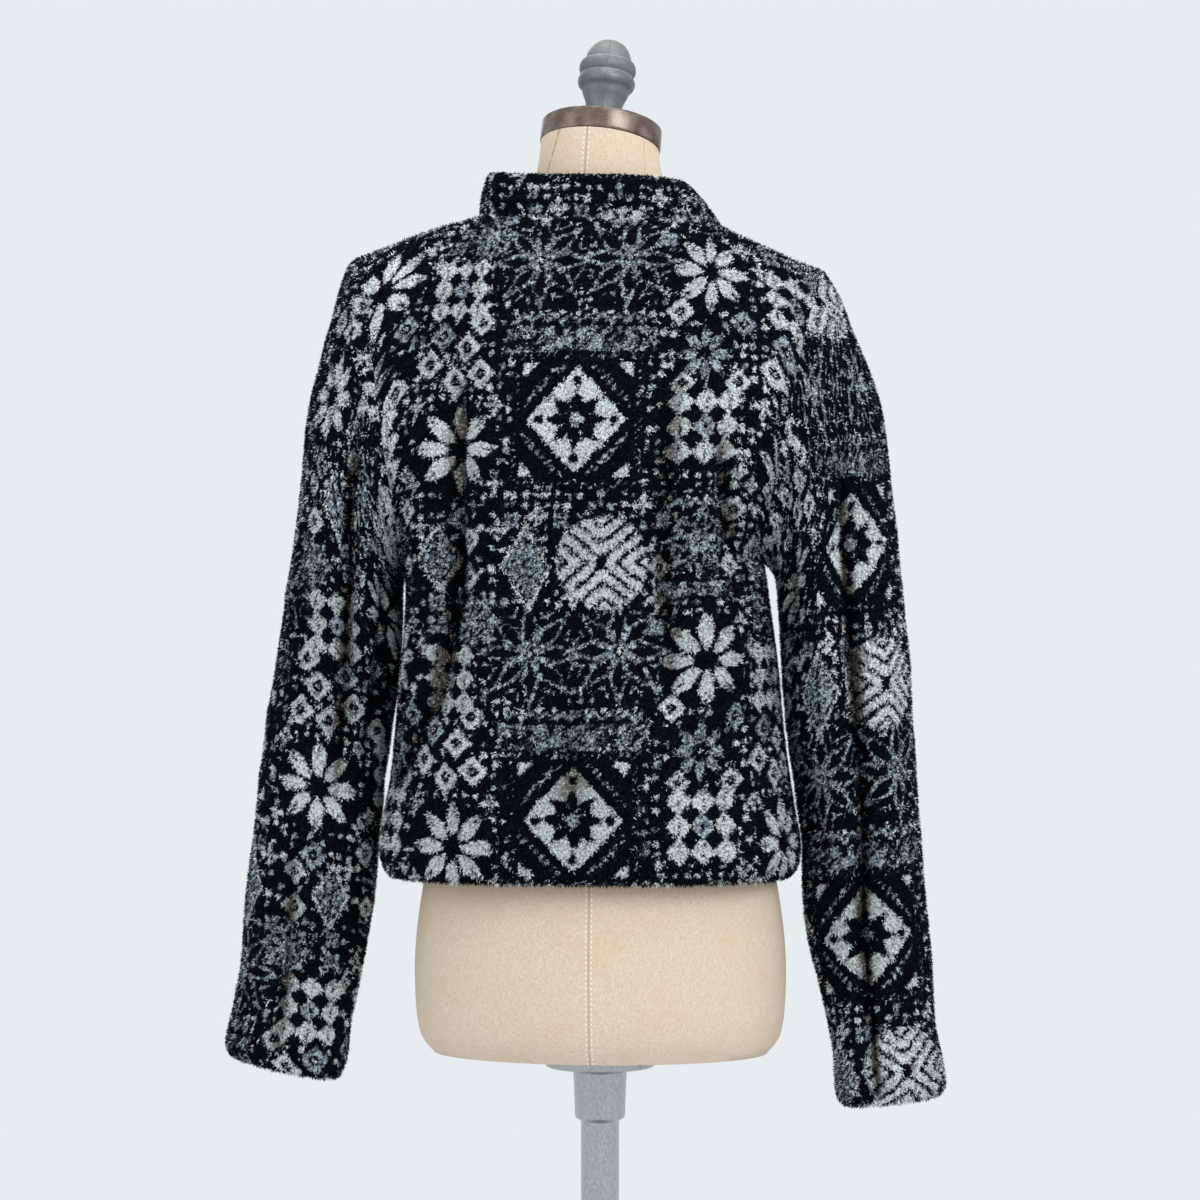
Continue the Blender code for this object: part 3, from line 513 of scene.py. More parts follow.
def armhole_axis(arm):
    """Direction out of the armhole, square to its plane."""
    tip = SHOULDER_TIP[arm]
    row = table_at(BODY_COLUMNS, BODY, UNDERARM_Z)
    under = row["left"] if arm > 0 else row["right"]
    return unit(np.array([arm * (tip[1] - UNDERARM_Z), 0.0, float(under) - tip[0]]))


def sleeve_points(arm, turn, run):
    """Sleeve surface; turn in degrees from the upper edge over the back, run from 0 to 1."""
    rows = SLEEVE[arm]
    turn, run = np.broadcast_arrays(turn, run)
    row = table_at(SLEEVE_COLUMNS, rows, run * rows[-1][0])
    angle = np.radians(turn)
    across = np.cos(angle)
    x = (row["top_x"] + row["under_x"]) / 2 + (row["top_x"] - row["under_x"]) / 2 * across
    z = (row["top_z"] + row["under_z"]) / 2 + (row["top_z"] - row["under_z"]) / 2 * across
    return stack(arm * x, row["mid_y"] + row["depth"] * np.sin(angle), z)


def sleeve_normals(arm, turn, run):
    """Outward directions of the sleeve; at the armhole they lie in the plane of the seam."""
    low = np.maximum(run - RUN_STEP, 0.0)
    high = np.minimum(run + RUN_STEP, 1.0)
    along = unit(sleeve_points(arm, turn, high) - sleeve_points(arm, turn, low))
    around = sleeve_points(arm, turn + TURN_STEP, run) - sleeve_points(arm, turn - TURN_STEP, run)
    at_seam = (1 - smooth(np.broadcast_to(run, along.shape[:-1]) / SEAM_BLEND))[..., None]
    along = along * (1 - at_seam) + armhole_axis(arm) * at_seam
    return unit(np.cross(along, around)) * arm


PRIMES = (73856093, 19349663, 83492791)
KEEP_31 = 0x7FFFFFFF
LOW_BYTE = 0xFF


def shuffled(number):
    """Whole numbers scrambled, for chances that are the same on every run."""
    number = number * 1274126177 & KEEP_31
    return (number ^ number >> 13) * 69069 & KEEP_31


def noise(points, cell, seed=0):
    """Smooth noise from -1 to 1 at points, with features of one cell's size."""
    place = np.asarray(points) / cell
    base = np.floor(place).astype(np.int64)
    part = smooth(place - base)
    size = place.shape[-1]
    total = np.zeros(place.shape[:-1])
    for corner in range(2**size):
        number = np.full(total.shape, seed * 2654435 + 12345, np.int64)
        weight = np.ones(total.shape)
        for k in range(size):
            up = corner >> k & 1
            number = number ^ (base[..., k] + up) * PRIMES[k]
            weight = weight * (part[..., k] if up else 1 - part[..., k])
        total += weight * ((shuffled(number) >> 8 & 0xFFFF) / 32768.0 - 1)
    return total


CLUMP_INSET = 0.12


def clumps(across, up, cell):
    """Nearest of a scatter of clump middles: its place, its distance in cells and its own number."""
    best = np.full(across.shape, 9.0)
    middle = np.zeros((*across.shape, 2))
    own = np.zeros(across.shape)
    base = np.floor(np.stack([across, up], -1) / cell).astype(np.int64)
    for corner in range(9):
        at = base + [corner % 3 - 1, corner // 3 - 1]
        number = shuffled(at[..., 0] * PRIMES[0] ^ at[..., 1] * PRIMES[1])
        offset = np.stack([number >> 4 & LOW_BYTE, number >> 12 & LOW_BYTE], -1) / 256.0
        place = (at + CLUMP_INSET + (1 - 2 * CLUMP_INSET) * offset) * cell
        gap = np.hypot(across - place[..., 0], up - place[..., 1]) / cell
        near = gap < best
        best = np.where(near, gap, best)
        middle = np.where(near[..., None], place, middle)
        own = np.where(near, (number >> 20 & 0x3FF) / 1024.0, own)
    return middle, best, own


# Motifs, in millimetres from their own middle and with their parts in shares of their size.
# Each gives how far inside its shape a place is: for the off-white yarn, for the grey yarn and
# for the black ground round it.
NOWHERE = -9.0


def diamond(x, y, wide, high):
    """Depth inside a diamond of half width wide and half height high."""
    return (1 - np.abs(x) / wide - np.abs(y) / high) * wide * high / math.hypot(wide, high)


def disc(x, y, radius):
    """Depth inside a circle."""
    return radius - np.hypot(x, y)


def block(x, y, wide, high):
    """Depth inside a rectangle of half width wide and half height high."""
    return np.minimum(wide - np.abs(x), high - np.abs(y))


def line(depth, width):
    """A line of the given width along the edge of a shape."""
    return width / 2 - np.abs(depth)


def folded(x, y, petals):
    """Place turned into the first of a number of equal sectors: along its axis and off it."""
    sector = 2 * math.pi / petals
    angle = np.arctan2(x, y)
    angle = angle - np.round(angle / sector) * sector
    reach = np.hypot(x, y)
    return reach * np.cos(angle), reach * np.sin(angle)


def star(x, y, radius, petals=8, wide=0.20):
    """Depth inside a star of long diamonds that meet at its middle."""
    along, off = folded(x, y, petals)
    return diamond(off, along - 0.52 * radius, wide * radius, 0.48 * radius)


def medallion(x, y, size):
    """Off-white diamond with a black star, four black dots and a fine grey frame."""
    field = diamond(x, y, 0.96 * size, size)
    inner = star(x, y, 0.62 * size, wide=0.22)
    along, off = np.abs(x), np.abs(y)
    upright = disc(along, off - 0.74 * size, 0.095 * size)
    level = disc(along - 0.71 * size, off, 0.095 * size)
    heart = diamond(x, y, 0.16 * size, 0.16 * size)
    white = np.minimum(field, -np.maximum(inner, np.maximum(upright, level)))
    frame_box = np.minimum(line(block(x, y, 1.16 * size, 1.2 * size), 2.8), 1.6 - (x + y) % 6.0)
    steps = np.minimum(line(field + 10.0, 4.6), block(x, y, 1.0 * size, 1.04 * size))
    steps = np.minimum(steps, 2.2 - np.abs((x - y * np.sign(x * y)) % 9.0 - 4.5))
    corner = diamond(along - 1.02 * size, off - 1.06 * size, 0.26 * size, 0.26 * size)
    corner = np.minimum(corner, block(x, y, 1.04 * size, 1.08 * size))
    grey = np.maximum(heart, np.maximum(frame_box, steps))
    return np.maximum(white, corner), grey, block(x, y, 1.2 * size, 1.24 * size)


def snowflake(x, y, size):
    """Grey line star: the outline of eight long diamonds, with a small V between their tips."""
    outer = star(x, y, size, wide=0.155)
    along, off = folded(x, y, 8)
    turned_x = (x + y * math.tan(math.pi / 8)) * math.cos(math.pi / 8)
    turned_y = (y - x * math.tan(math.pi / 8)) * math.cos(math.pi / 8)
    between, beside = folded(turned_x, turned_y, 8)
    vee = 1.3 - np.abs(between - 0.74 * size - np.abs(beside) * 1.1)
    vee = np.minimum(vee, 0.16 * size - np.abs(beside))
    grey = np.maximum(np.minimum(line(outer, 2.4), along - 0.1 * size), vee)
    return disc(x, y, 0.06 * size), grey * 1.3, disc(x, y, size)


def rose(x, y, size):
    """Off-white rose of eight split petals round a small black middle."""
    along, off = folded(x, y, 8)
    reach = np.abs(along - 0.60 * size) / (0.38 * size)
    petal = (1 - reach**1.5 - (np.abs(off) / (0.165 * size)) ** 1.5) * 0.15 * size
    slit = np.minimum(1.0 - np.abs(off), along - 0.66 * size)
    white = np.minimum(petal, -slit)
    return white, np.full_like(white, NOWHERE), disc(x, y, size)


def grey_rose(x, y, size):
    """Rose in grey, with an off-white dot in each petal."""
    white, _, around = rose(x, y, size)
    dots = disc(*folded(x, y, 8)[::-1], 0.1) + 0.05 * size
    return dots, white, around


def rosette(x, y, size):
    """Off-white round rosette cut by slanting black stripes, mirrored in each quarter."""
    field = disc(x, y, size)
    slant = (np.abs(x) * 0.8 - np.abs(y) * 1.0) / 1.28
    wave = np.sin(slant * 2 * math.pi / (0.27 * size))
    stripes = wave * 0.27 * size / 6.28 + 0.6
    white = np.minimum(np.minimum(field, stripes), np.maximum(np.abs(x), np.abs(y)) - 0.12 * size)
    rim = line(field - 0.1, 2.0)
    return white, np.minimum(rim, 0.8), field + 2


def leaf(x, y, size):
    """Grey pointed leaf with a black midrib and side veins, in an off-white outline."""
    field = diamond(x, y, 0.56 * size, size) - 0.6
    veins = np.minimum(1.1 - np.abs(((np.abs(y) - np.abs(x) * 0.9) % 7.6) - 3.8), 0.4 * size - np.abs(x))
    rib = 1.0 - np.abs(x)
    grey = np.minimum(field - 2.4, -np.maximum(veins, rib))
    return line(field, 2.6), grey, diamond(x, y, 0.62 * size, 1.08 * size)


def hoop(x, y, size):
    """Small off-white diamond with a black hole and a dot in it."""
    field = diamond(x, y, size, size)
    white = np.minimum(field, -diamond(x, y, 0.46 * size, 0.46 * size))
    return white, disc(x, y, 0.14 * size), field + 2


def grey_hoop(x, y, size):
    """Hoop in grey, with an off-white dot in it."""
    white, _, around = hoop(x, y, size)
    return disc(x, y, 0.14 * size), white, around


def cluster(x, y, size):
    """Blossom of nine pointed petals in three rows, the middle one grey with a black eye."""
    step = 0.68 * size
    column = np.clip(np.round(x / step), -1, 1)
    row = np.clip(np.round(y / step), -1, 1)
    px = np.abs(x - column * step) / (0.35 * size)
    py = np.abs(y - row * step) / (0.35 * size)
    petal = (1 - px**1.1 - py**1.1) * 0.21 * size
    slit = np.minimum(0.8 - np.abs(x - column * step), petal - 2.4)
    eye = disc(x, y, 0.09 * size)
    centre = (column == 0) & (row == 0)
    white = np.where(centre, NOWHERE, np.minimum(petal, -slit))
    return white, np.where(centre, np.minimum(petal, -eye), NOWHERE), block(x, y, size, size)


def sprig(x, y, size):
    """Four small lobes round a black middle."""
    lobe = disc(np.abs(x) - 0.5 * size, np.abs(y) - 0.5 * size, 0.44 * size)
    return np.full_like(lobe, NOWHERE), lobe, disc(x, y, size * 1.2)


def bloom(x, y, size):
    """Five small off-white petals in a cross."""
    along, off = folded(x, y, 4)
    petal = diamond(along - 0.62 * size, off, 0.46 * size, 0.34 * size)
    return np.maximum(petal, disc(x, y, 0.16 * size)), np.full_like(petal, NOWHERE), disc(x, y, size * 1.1)


def speckled(x, y, size):
    """Grey bar with an even scatter of black specks."""
    field = block(x, y, size, 0.17 * size)
    specks = noise(np.stack([x + 400, y + 400], -1), 3.3, 5) * 2.2 + 0.25
    return np.full_like(field, NOWHERE), np.minimum(field, specks), field + 2


def chevron(x, y, size):
    """Row of grey zigzags with off-white dots in their bays."""
    pitch = 13.0
    bay = np.abs((x + size) % pitch - pitch / 2)
    field = block(x, y, size, 6.4)
    zigzag = np.minimum(1.4 - np.abs(y + 4.0 - bay) * 0.7, field)
    dots = np.minimum(disc((x + size) % pitch - pitch / 2, y - 3.6, 2.1), field)
    return dots, zigzag, field


def dots(x, y, size):
    """Row of off-white dots."""
    pitch = 9.5
    field = block(x, y, size, 4.0)
    return np.minimum(disc(x % pitch - pitch / 2, y, 2.1), field), np.full_like(field, NOWHERE), field


# One repeat of the knitted pattern, in millimetres: motif, middle across and up, and size
REPEAT_WIDE = 296.0
REPEAT_HIGH = 324.0
MOTIFS = (
    (medallion, 2, 58, 43),
    (speckled, 2, 124, 62),
    (chevron, 2, 143, 56),
    (snowflake, -34, 194, 42),
    (snowflake, 38, 192, 42),
    (rosette, -24, 266, 37),
    (leaf, 38, 262, 35),
    (sprig, 10, 300, 7), (bloom, 30, 304, 9), (sprig, 50, 300, 7), (bloom, -56, 312, 9),
    (bloom, -68, 236, 9), (sprig, 70, 236, 7), (bloom, 2, 238, 9), (bloom, 62, 292, 9),
    (rose, 104, 34, 39),
    (dots, 106, 76, 34),
    (hoop, 84, 96, 13), (hoop, 110, 90, 13), (hoop, 134, 104, 13), (hoop, 98, 118, 13),
    (grey_hoop, 124, 128, 13), (hoop, 86, 140, 12),
    (cluster, 112, 170, 28),
    (snowflake, 86, 218, 22), (sprig, 128, 214, 8), (sprig, 126, 232, 7),
    (leaf, 122, 268, 28), (hoop, 90, 254, 13), (hoop, 88, 284, 12), (grey_hoop, 104, 300, 12),
    (rose, -106, 186, 39),
    (cluster, -104, 52, 30),
    (grey_rose, -102, 112, 26),
    (hoop, -132, 88, 12), (hoop, -78, 148, 12), (grey_hoop, -136, 140, 12), (hoop, -84, 88, 10),
    (speckled, -104, 244, 34),
    (snowflake, -104, 282, 27), (hoop, -136, 262, 11), (hoop, -72, 262, 11), (sprig, -74, 300, 7),
    (hoop, -142, 308, 12), (dots, -104, 12, 36), (chevron, -106, 314, 32),
    (bloom, -142, 216, 9), (sprig, -66, 214, 7), (bloom, -140, 16, 8), (bloom, 142, 70, 8),
    (bloom, 144, 6, 8), (bloom, 66, 6, 7), (bloom, 70, 70, 8), (bloom, 142, 196, 8),
)
FILL_PITCH = 8.8
FILL_SIZE = (1.7, 3.0)
FILL_STRAY = 1.6
FILL_WHITE = 0.42
FILL_GREY = 0.76
PATTERN_WARP = 0.9
WARP_CELL = 0.0048
MOTIF_REACH = 1.5
MOTIF_MARGIN = 4.0
DEEPEST = 3.0


def pattern(across, up):
    """Depth inside the off-white and the grey yarn at places on the cloth, in metres."""
    place = np.stack([across, up], -1)
    across = across * 1000 + PATTERN_WARP * noise(place, WARP_CELL, 11)
    up = up * 1000 + PATTERN_WARP * noise(place, WARP_CELL, 12)
    white = np.full(across.shape, NOWHERE)
    grey = np.full(across.shape, NOWHERE)
    around = np.full(across.shape, NOWHERE)
    for motif, x, y, size in MOTIFS:
        dx = (across - x + REPEAT_WIDE / 2) % REPEAT_WIDE - REPEAT_WIDE / 2
        dy = (up - y + REPEAT_HIGH / 2) % REPEAT_HIGH - REPEAT_HIGH / 2
        near = np.maximum(np.abs(dx), np.abs(dy)) < MOTIF_REACH * size + MOTIF_MARGIN
        in_white, in_grey, envelope = motif(dx[near], dy[near], size)
        white[near] = np.maximum(white[near], in_white)
        grey[near] = np.maximum(grey[near], in_grey)
        around[near] = np.maximum(around[near], envelope)
    cell = np.floor(np.stack([across, up], -1) / FILL_PITCH).astype(np.int64)
    number = cell[..., 0] * PRIMES[2] ^ cell[..., 1] * PRIMES[0]
    number = (number * 1274126177 & KEEP_31) >> 3
    chance = (number >> 16 & LOW_BYTE) / 255.0
    stray = np.stack([number & LOW_BYTE, number >> 8 & LOW_BYTE], -1) / 127.5 - 1
    gap = np.stack([across, up], -1) - (cell + 0.5) * FILL_PITCH - stray * FILL_STRAY
    size = FILL_SIZE[0] + (FILL_SIZE[1] - FILL_SIZE[0]) * (chance * 7 % 1)
    speck = size - np.abs(gap).max(-1) * 0.5 - np.abs(gap).sum(-1) * 0.35
    speck = np.minimum(speck, -around - 1.0)
    white = np.where(chance < FILL_WHITE, np.maximum(white, speck), white)
    in_grey = (chance > FILL_WHITE) & (chance < FILL_GREY)
    grey = np.where(in_grey, np.maximum(grey, speck), grey)
    return np.clip(white, -DEEPEST, DEEPEST), np.clip(grey, -DEEPEST, DEEPEST)


def lengths(points):
    """Running length along the first axis of a grid of points."""
    steps = np.linalg.norm(np.diff(points, axis=0), axis=-1)
    start = np.zeros((1, *steps.shape[1:]))
    return np.concatenate([start, np.cumsum(steps, axis=0)])


def lengths_across(points):
    """Running length along the second axis of a grid of points."""
    return lengths(np.moveaxis(points, 1, 0)).T


def edge_spaced(length, start_radius, end_radius):
    """Distances along a length, close together where its two edges round over."""
    turns = np.arange(ROUND_STEPS) * math.pi / 2 / ROUND_STEPS
    near = start_radius * (1 - np.cos(turns))
    far = length - end_radius * (1 - np.cos(turns[::-1]))
    count = int((length - start_radius - end_radius) / PITCH)
    while (count + 2 * ROUND_STEPS - 1) % COARSE:
        count += 1
    return np.concatenate([near, np.linspace(start_radius, length - end_radius, count), far])


def spaced_along(samples, points, start_radius, end_radius):
    """Sample values evenly spaced along a line of points, their distances, and its length."""
    run = lengths(points)
    distances = edge_spaced(run[-1], start_radius, end_radius)
    return np.interp(distances, run, samples), distances, run[-1]


def rounding(distance, radius):
    """From 0 at an edge to 1 where its round ends."""
    return np.sqrt(1 - (1 - np.minimum(distance / radius, 1.0)) ** 2)


def placed(name, mesh, material):
    """The piece of a mesh and on the frame's body."""
    mesh.materials.append(material)
    mesh.shade_smooth()
    mesh.update()
    piece = bpy.data.objects.new(name, mesh)
    bpy.context.scene.collection.objects.link(piece)
    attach(piece, "root")
    return piece


def link_mesh(name, points, faces, material, uv=None, values=None):
    """Piece from points and faces, with face-corner places and point values if there are any."""
    mesh = bpy.data.meshes.new(name)
    mesh.from_pydata(np.asarray(points).tolist(), [], faces)
    if uv is not None:
        layer = mesh.uv_layers.new(name="OFBake")
        layer.uv.foreach_set("vector", np.asarray(uv, np.float32).ravel())
    for key, value in (values or {}).items():
        kept = mesh.attributes.new(key, "FLOAT", "POINT")
        kept.data.foreach_set("value", np.asarray(value, np.float32))
    return placed(name, mesh, material)


# Bake layout of a wall: its start and extent across, and up for the outside and the inside
UV_ACROSS = (0.01, 0.98)
UV_OUTSIDE = (0.15, 0.84)
UV_INSIDE = (0.01, 0.12)


def wall(name, outer, inner, values, closed, material):
    """Closed wall of a fine outer grid and a coarse inner one, which share their edge points."""
    rows, columns = outer.shape[:2]
    fine = np.arange(rows * columns).reshape(rows, columns)
    many = (rows - 1) // COARSE
    wide = columns // COARSE if closed else (columns - 1) // COARSE
    picked_rows = np.arange(many + 1) * COARSE
    picked_columns = np.arange(wide + (0 if closed else 1)) * COARSE
    coarse = fine[picked_rows[:, None], picked_columns]
    inner_columns = slice(None) if closed else slice(1, -1)
    inside = inner[picked_rows[1:-1, None], picked_columns[inner_columns]]
    numbers = np.arange(inside[..., 0].size).reshape(inside.shape[:2])
    coarse[1:-1, inner_columns] = fine.size + numbers
    points = np.concatenate([outer.reshape(-1, 3), inside.reshape(-1, 3)])

    right = np.roll(fine, -1, axis=1)[:, : columns if closed else columns - 1]
    left = fine[:, : right.shape[1]]
    outside = np.stack([left[:-1], right[:-1], right[1:], left[1:]], -1).reshape(-1, 4)
    faces = outside.tolist()
    corners = []
    for k in range(4):
        i, j = outside[:, k] // columns, outside[:, k] % columns
        j = np.where((k in (1, 2)) & (j == 0), columns, j)
        across = UV_ACROSS[0] + UV_ACROSS[1] * j / columns
        corners.append(np.stack([across, UV_OUTSIDE[0] + UV_OUTSIDE[1] * i / (rows - 1)], -1))
    uv = [np.stack(corners, 1).reshape(-1, 2)]

    for i in range(many):
        for j in range(wide):
            square = ((i, j), (i, j + 1), (i + 1, j + 1), (i + 1, j))
            on_edge = (i == 0, j == wide - 1 and not closed, i == many - 1, j == 0 and not closed)
            face, places = [], []
            for k, (p, q) in enumerate(square):
                face.append(int(coarse[p, q % coarse.shape[1]]))
                places.append((p, q))
                ahead = square[(k + 1) % 4]
                for n in range(1, COARSE) if on_edge[k] else ():
                    down, over = (ahead[0] - p) * n, (ahead[1] - q) * n
                    face.append(int(fine[COARSE * p + down, COARSE * q + over]))
                    places.append((p + down / COARSE, q + over / COARSE))
            faces.append(face[::-1])
            up, across = np.array(places[::-1], float).T
            across = UV_ACROSS[0] + UV_ACROSS[1] * across / wide
            uv.append(np.stack([across, UV_INSIDE[0] + UV_INSIDE[1] * up / many], -1))
    uv = np.concatenate(uv)

    i, j = rows // 2, columns // 2
    square = np.cross(outer[i, j + 1] - outer[i, j], outer[i + 1, j] - outer[i, j])
    if np.dot(square, outer[i, j] - inner[i, j]) < 0:
        sizes = [len(face) for face in faces]
        starts = np.cumsum([0] + sizes[:-1])
        uv = np.concatenate([uv[s : s + n][::-1] for s, n in zip(starts, sizes)])
        faces = [face[::-1] for face in faces]
    held = {}
    for key, (outside_value, inside_value) in values.items():
        inside_values = np.full(numbers.size, inside_value)
        held[key] = np.concatenate([outside_value.ravel(), inside_values])
    return link_mesh(name, points, faces, material, uv, held)


# Where troughs start to sink and over what depth, and noises by their cell, height and seed
SUNK_FROM = 0.0015
SUNK_OVER = 0.0065
LUMPS = ((0.062, 0.0016, 1), (0.02604, 0.0008, 2))
NUBS = ((0.0072, 0.00034, 3), (0.0042, 0.00042, 4))


def bumps(points, cells):
    """Sum of a few noises at points."""
    return sum(high * noise(points, cell, seed) for cell, high, seed in cells)


def draped_normals(points, normals, closed):
    """Outward directions of a grid of points with its folds, on the side that normals face."""
    up_way = np.gradient(points, axis=0)
    if closed:
        across_way = np.roll(points, -1, 1) - np.roll(points, 1, 1)
    else:
        across_way = np.gradient(points, axis=1)
    turned = unit(np.cross(across_way, up_way))
    return np.where((turned * normals).sum(-1, keepdims=True) < 0, -turned, turned)


def cloth(name, surface, normals, lift, thick, edges, across, up, closed, material):
    """One panel of fleece: rounds its edges over, raises its pile and knits its pattern in."""
    form = lift + bumps(surface, LUMPS) * smooth(edges["seam"] / SEAM_EASE)
    nubs = bumps(surface, NUBS)
    full = edges["full"]
    outside = surface + normals * (form - thick / 2 * (1 - full) + nubs * full)[..., None]
    inside = surface + normals * (form - thick / 2 * (1 + full))[..., None]
    white, grey = pattern(across, up)
    # How deep a place lies in a trough: it sets the painted tan shade, and on the tufts the painted shade
    # too
    sunk = np.clip((-lift - SUNK_FROM) / SUNK_OVER, 0.0, 1.0)
    values = {
        "white": (white, -DEEPEST), "grey": (grey, -DEEPEST), "sunk": (sunk, 0.0),
        "lining": (np.zeros(white.shape), 1.0),
    }
    piece = wall(name, outside, inside, values, closed, material)
    facing = draped_normals(surface + normals * form[..., None], normals, closed)
    return piece, (outside, facing, across, up, sunk, closed)


def hem_layers(from_hem):
    """From 0 on the single cloth to 1 on the turned-up hem."""
    return smooth((HEM_TURN - from_hem) / HEM_EASE)[:, None]


ROWS_AT_SHARE = 0.3
BODY_RELIEF = BODY_FOLDS + cores(BODY_FOLDS) + BODY_CREASES


def panel(name, half, low_share, high_share, material, tuck=False):
    """Body panel over a range of shares of its half, its pattern centred on share 0."""
    samples = np.linspace(0.0, 2.0, SAMPLES)
    line_up = body_points(half, np.array(ROWS_AT_SHARE), samples)
    rows, from_hem, length = spaced_along(samples, line_up, HEM_THICK / 2, FLEECE / 2)
    samples = np.linspace(low_share, high_share, LEVEL_SAMPLES)
    level = body_points(half, samples, np.array(1.0))
    shares, from_edge, width = spaced_along(samples, level, FLEECE / 2, FLEECE / 2)
    share, row = np.meshgrid(shares, rows)
    surface = body_points(half, share, row)
    normals = body_normals(half, share, row)
    run = lengths_across(surface * [1, 1, 0])
    at_middle = np.array([np.interp(0.0, shares, row_run) for row_run in run])
    across = (run - at_middle[:, None]) * (1 if half > 0 else -1)
    up = lengths(surface * [0, 1, 1])
    fade = np.clip(np.minimum(1 - np.abs(share), 2 - row) / SEAM_FADE, 0.0, 1.0)
    lift = fold_lift(BODY_RELIEF, half, surface[..., 0], surface[..., 2]) * fade
    hem = hem_layers(from_hem)
    front_middle = body_points(-1, np.array(0.0), rows)[:, 0][:, None]
    if half < 0:
        gap = np.abs(surface[..., 0] - front_middle) - LAP
        hem = hem * smooth(gap / LAP_EASE)
    if tuck:
        ease = smooth((front_middle + LAP + LAP_EASE - surface[..., 0]) / LAP_EASE)
        lift = lift - (FLEECE + LAP_GAP) * ease
    thick = FLEECE + (HEM_THICK - FLEECE) * hem
    surface = surface + [0.0, half * SEAM_GAP / 2, 0.0]
    from_hem, from_top = from_hem[:, None], (length - from_hem)[:, None]
    sides = np.minimum(from_edge, width - from_edge)[None]
    full = rounding(sides, FLEECE / 2) * rounding(from_hem, HEM_THICK / 2)
    full = full * rounding(from_top, FLEECE / 2)
    seam = np.minimum(np.minimum(sides, from_top), from_hem * 2)
    edges = {"full": full, "seam": seam}
    return cloth(name, surface, normals, lift, thick, edges, across, up, False, material)


# Tufts: the cloth for each, half width, lift, reach, and how far their tips hang down
TUFT_AREA = 1.62e-6
TUFT_HALF_WIDTH = (0.00036, 0.00062)
TUFT_LIFT = (0.0004, 0.0012)
TUFT_REACH = (0.0009, 0.0024)
TUFT_NAP = 0.0006
TUFT_CORNERS = ((0.1, 0.1), (0.9, 0.1), (0.1, 0.9))
# Curls of tufts: spacing, height, radius in spacings, and how much tufts and shading fan out
CLUMP = 0.0026
CLUMP_HIGH = 0.0013
CLUMP_RADIUS = 0.75
CLUMP_FAN = 1.6
CLUMP_SOFT = 1.1
SOFT_STRAY = 0.30
PATTERN_JUMP = 0.02
# How raggedly tufts and whole curls take a motif's yarn, in millimetres past its edge
TUFT_STRAY = 0.32
CLUMP_STRAY = 1.6
CLUMP_MIDDLE = 0.58
GREY_SHARE = 0.40
GREY_SPREAD = 0.08
# Yarn colours, and how they change: painted tan shade in patches and painted shade in the troughs, painted
# light on the tops of curls, and painted shade at the tufts' roots
YARN_BLACK = (0.0026, 0.0045, 0.0074)
YARN_GREY = (0.640, 0.770, 0.850)
YARN_WHITE = (0.895, 0.985, 1.000)
PAINTED_TAN_SHADE = (0.330, 0.270, 0.200)
TAN_GAIN, TAN_FROM, TAN_MOST = 1.4, 0.15, 0.9
TAN_PATCHES = ((0.009, 0.5, 9),)
TROUGH_SHADE, TROUGH_POWER = 0.86, 1.4
ROOT_SHADE = 0.76
TUFT_TONES = (0.82, 1.10)
WHITE_CURL_LIGHT = (0.93, 0.32)
DARK_CURL_LIGHT = (0.60, 0.54)
BLACK_TONES = (0.4, 3.4)
BLACK_CLUMP = (0.5, 1.3)


def scattered(outside, rng):
    """Tuft roots over a grid: its square i, j, and shares p up and q across that square."""
    across_way = outside[:-1, 1:] - outside[:-1, :-1]
    up_way = outside[1:, :-1] - outside[:-1, :-1]
    area = np.linalg.norm(np.cross(across_way, up_way), axis=-1)
    count = np.floor(area / TUFT_AREA + rng.random(area.shape)).astype(int)
    i, j = np.nonzero(count)
    i, j = np.repeat(i, count[i, j]), np.repeat(j, count[i, j])
    p = rng.random(len(i))
    return i, j, p, rng.random(len(i))


def tuft_tints(middle, dome, own, fold, root, rng):
    """Colour of each tuft: the pattern's yarn at its curl's middle, uneven, with painted shade and painted
    tan shade in a trough and painted light on the top of its curl.
    """
    total = len(own)
    white, grey = pattern(middle[:, 0], middle[:, 1])
    stray = rng.normal(0.0, TUFT_STRAY, total) + (own * 7 % 1 - CLUMP_MIDDLE) * CLUMP_STRAY
    is_white = white + stray > 0
    share = own + rng.normal(0.0, GREY_SPREAD, total)
    is_grey = (grey + stray > 0) & ~is_white & (share < GREY_SHARE)
    # Painted tan shade: off-white yarn turns tan in the troughs, in patches
    tan = np.clip(fold * TAN_GAIN - TAN_FROM + bumps(root, TAN_PATCHES), 0.0, TAN_MOST)[:, None]
    pale = np.array(YARN_WHITE) * (1 - tan) + np.array(PAINTED_TAN_SHADE) * tan
    tint = np.where(is_white[:, None], pale, np.where(is_grey[:, None], YARN_GREY, YARN_BLACK))
    # Painted shade: the deeper a tuft's trough, the darker the tuft
    shade = 1 - TROUGH_SHADE * fold[:, None] ** TROUGH_POWER
    tint = tint * rng.uniform(*TUFT_TONES, (total, 1)) * shade
    # Painted light and shade: tufts paler on the top of each curl, darker towards its edge
    white_curl_lit, dark_curl_lit = (low + more * dome for low, more in (WHITE_CURL_LIGHT, DARK_CURL_LIGHT))
    tint = tint * np.where(is_white[:, None], white_curl_lit, dark_curl_lit)
    black = ~(is_white | is_grey)
    tones = rng.uniform(*BLACK_TONES, (int(black.sum()), 1))
    tint[black] = tint[black] * tones * (BLACK_CLUMP[0] + BLACK_CLUMP[1] * own[black, None])
    return np.clip(tint, 0.0, 1.0)


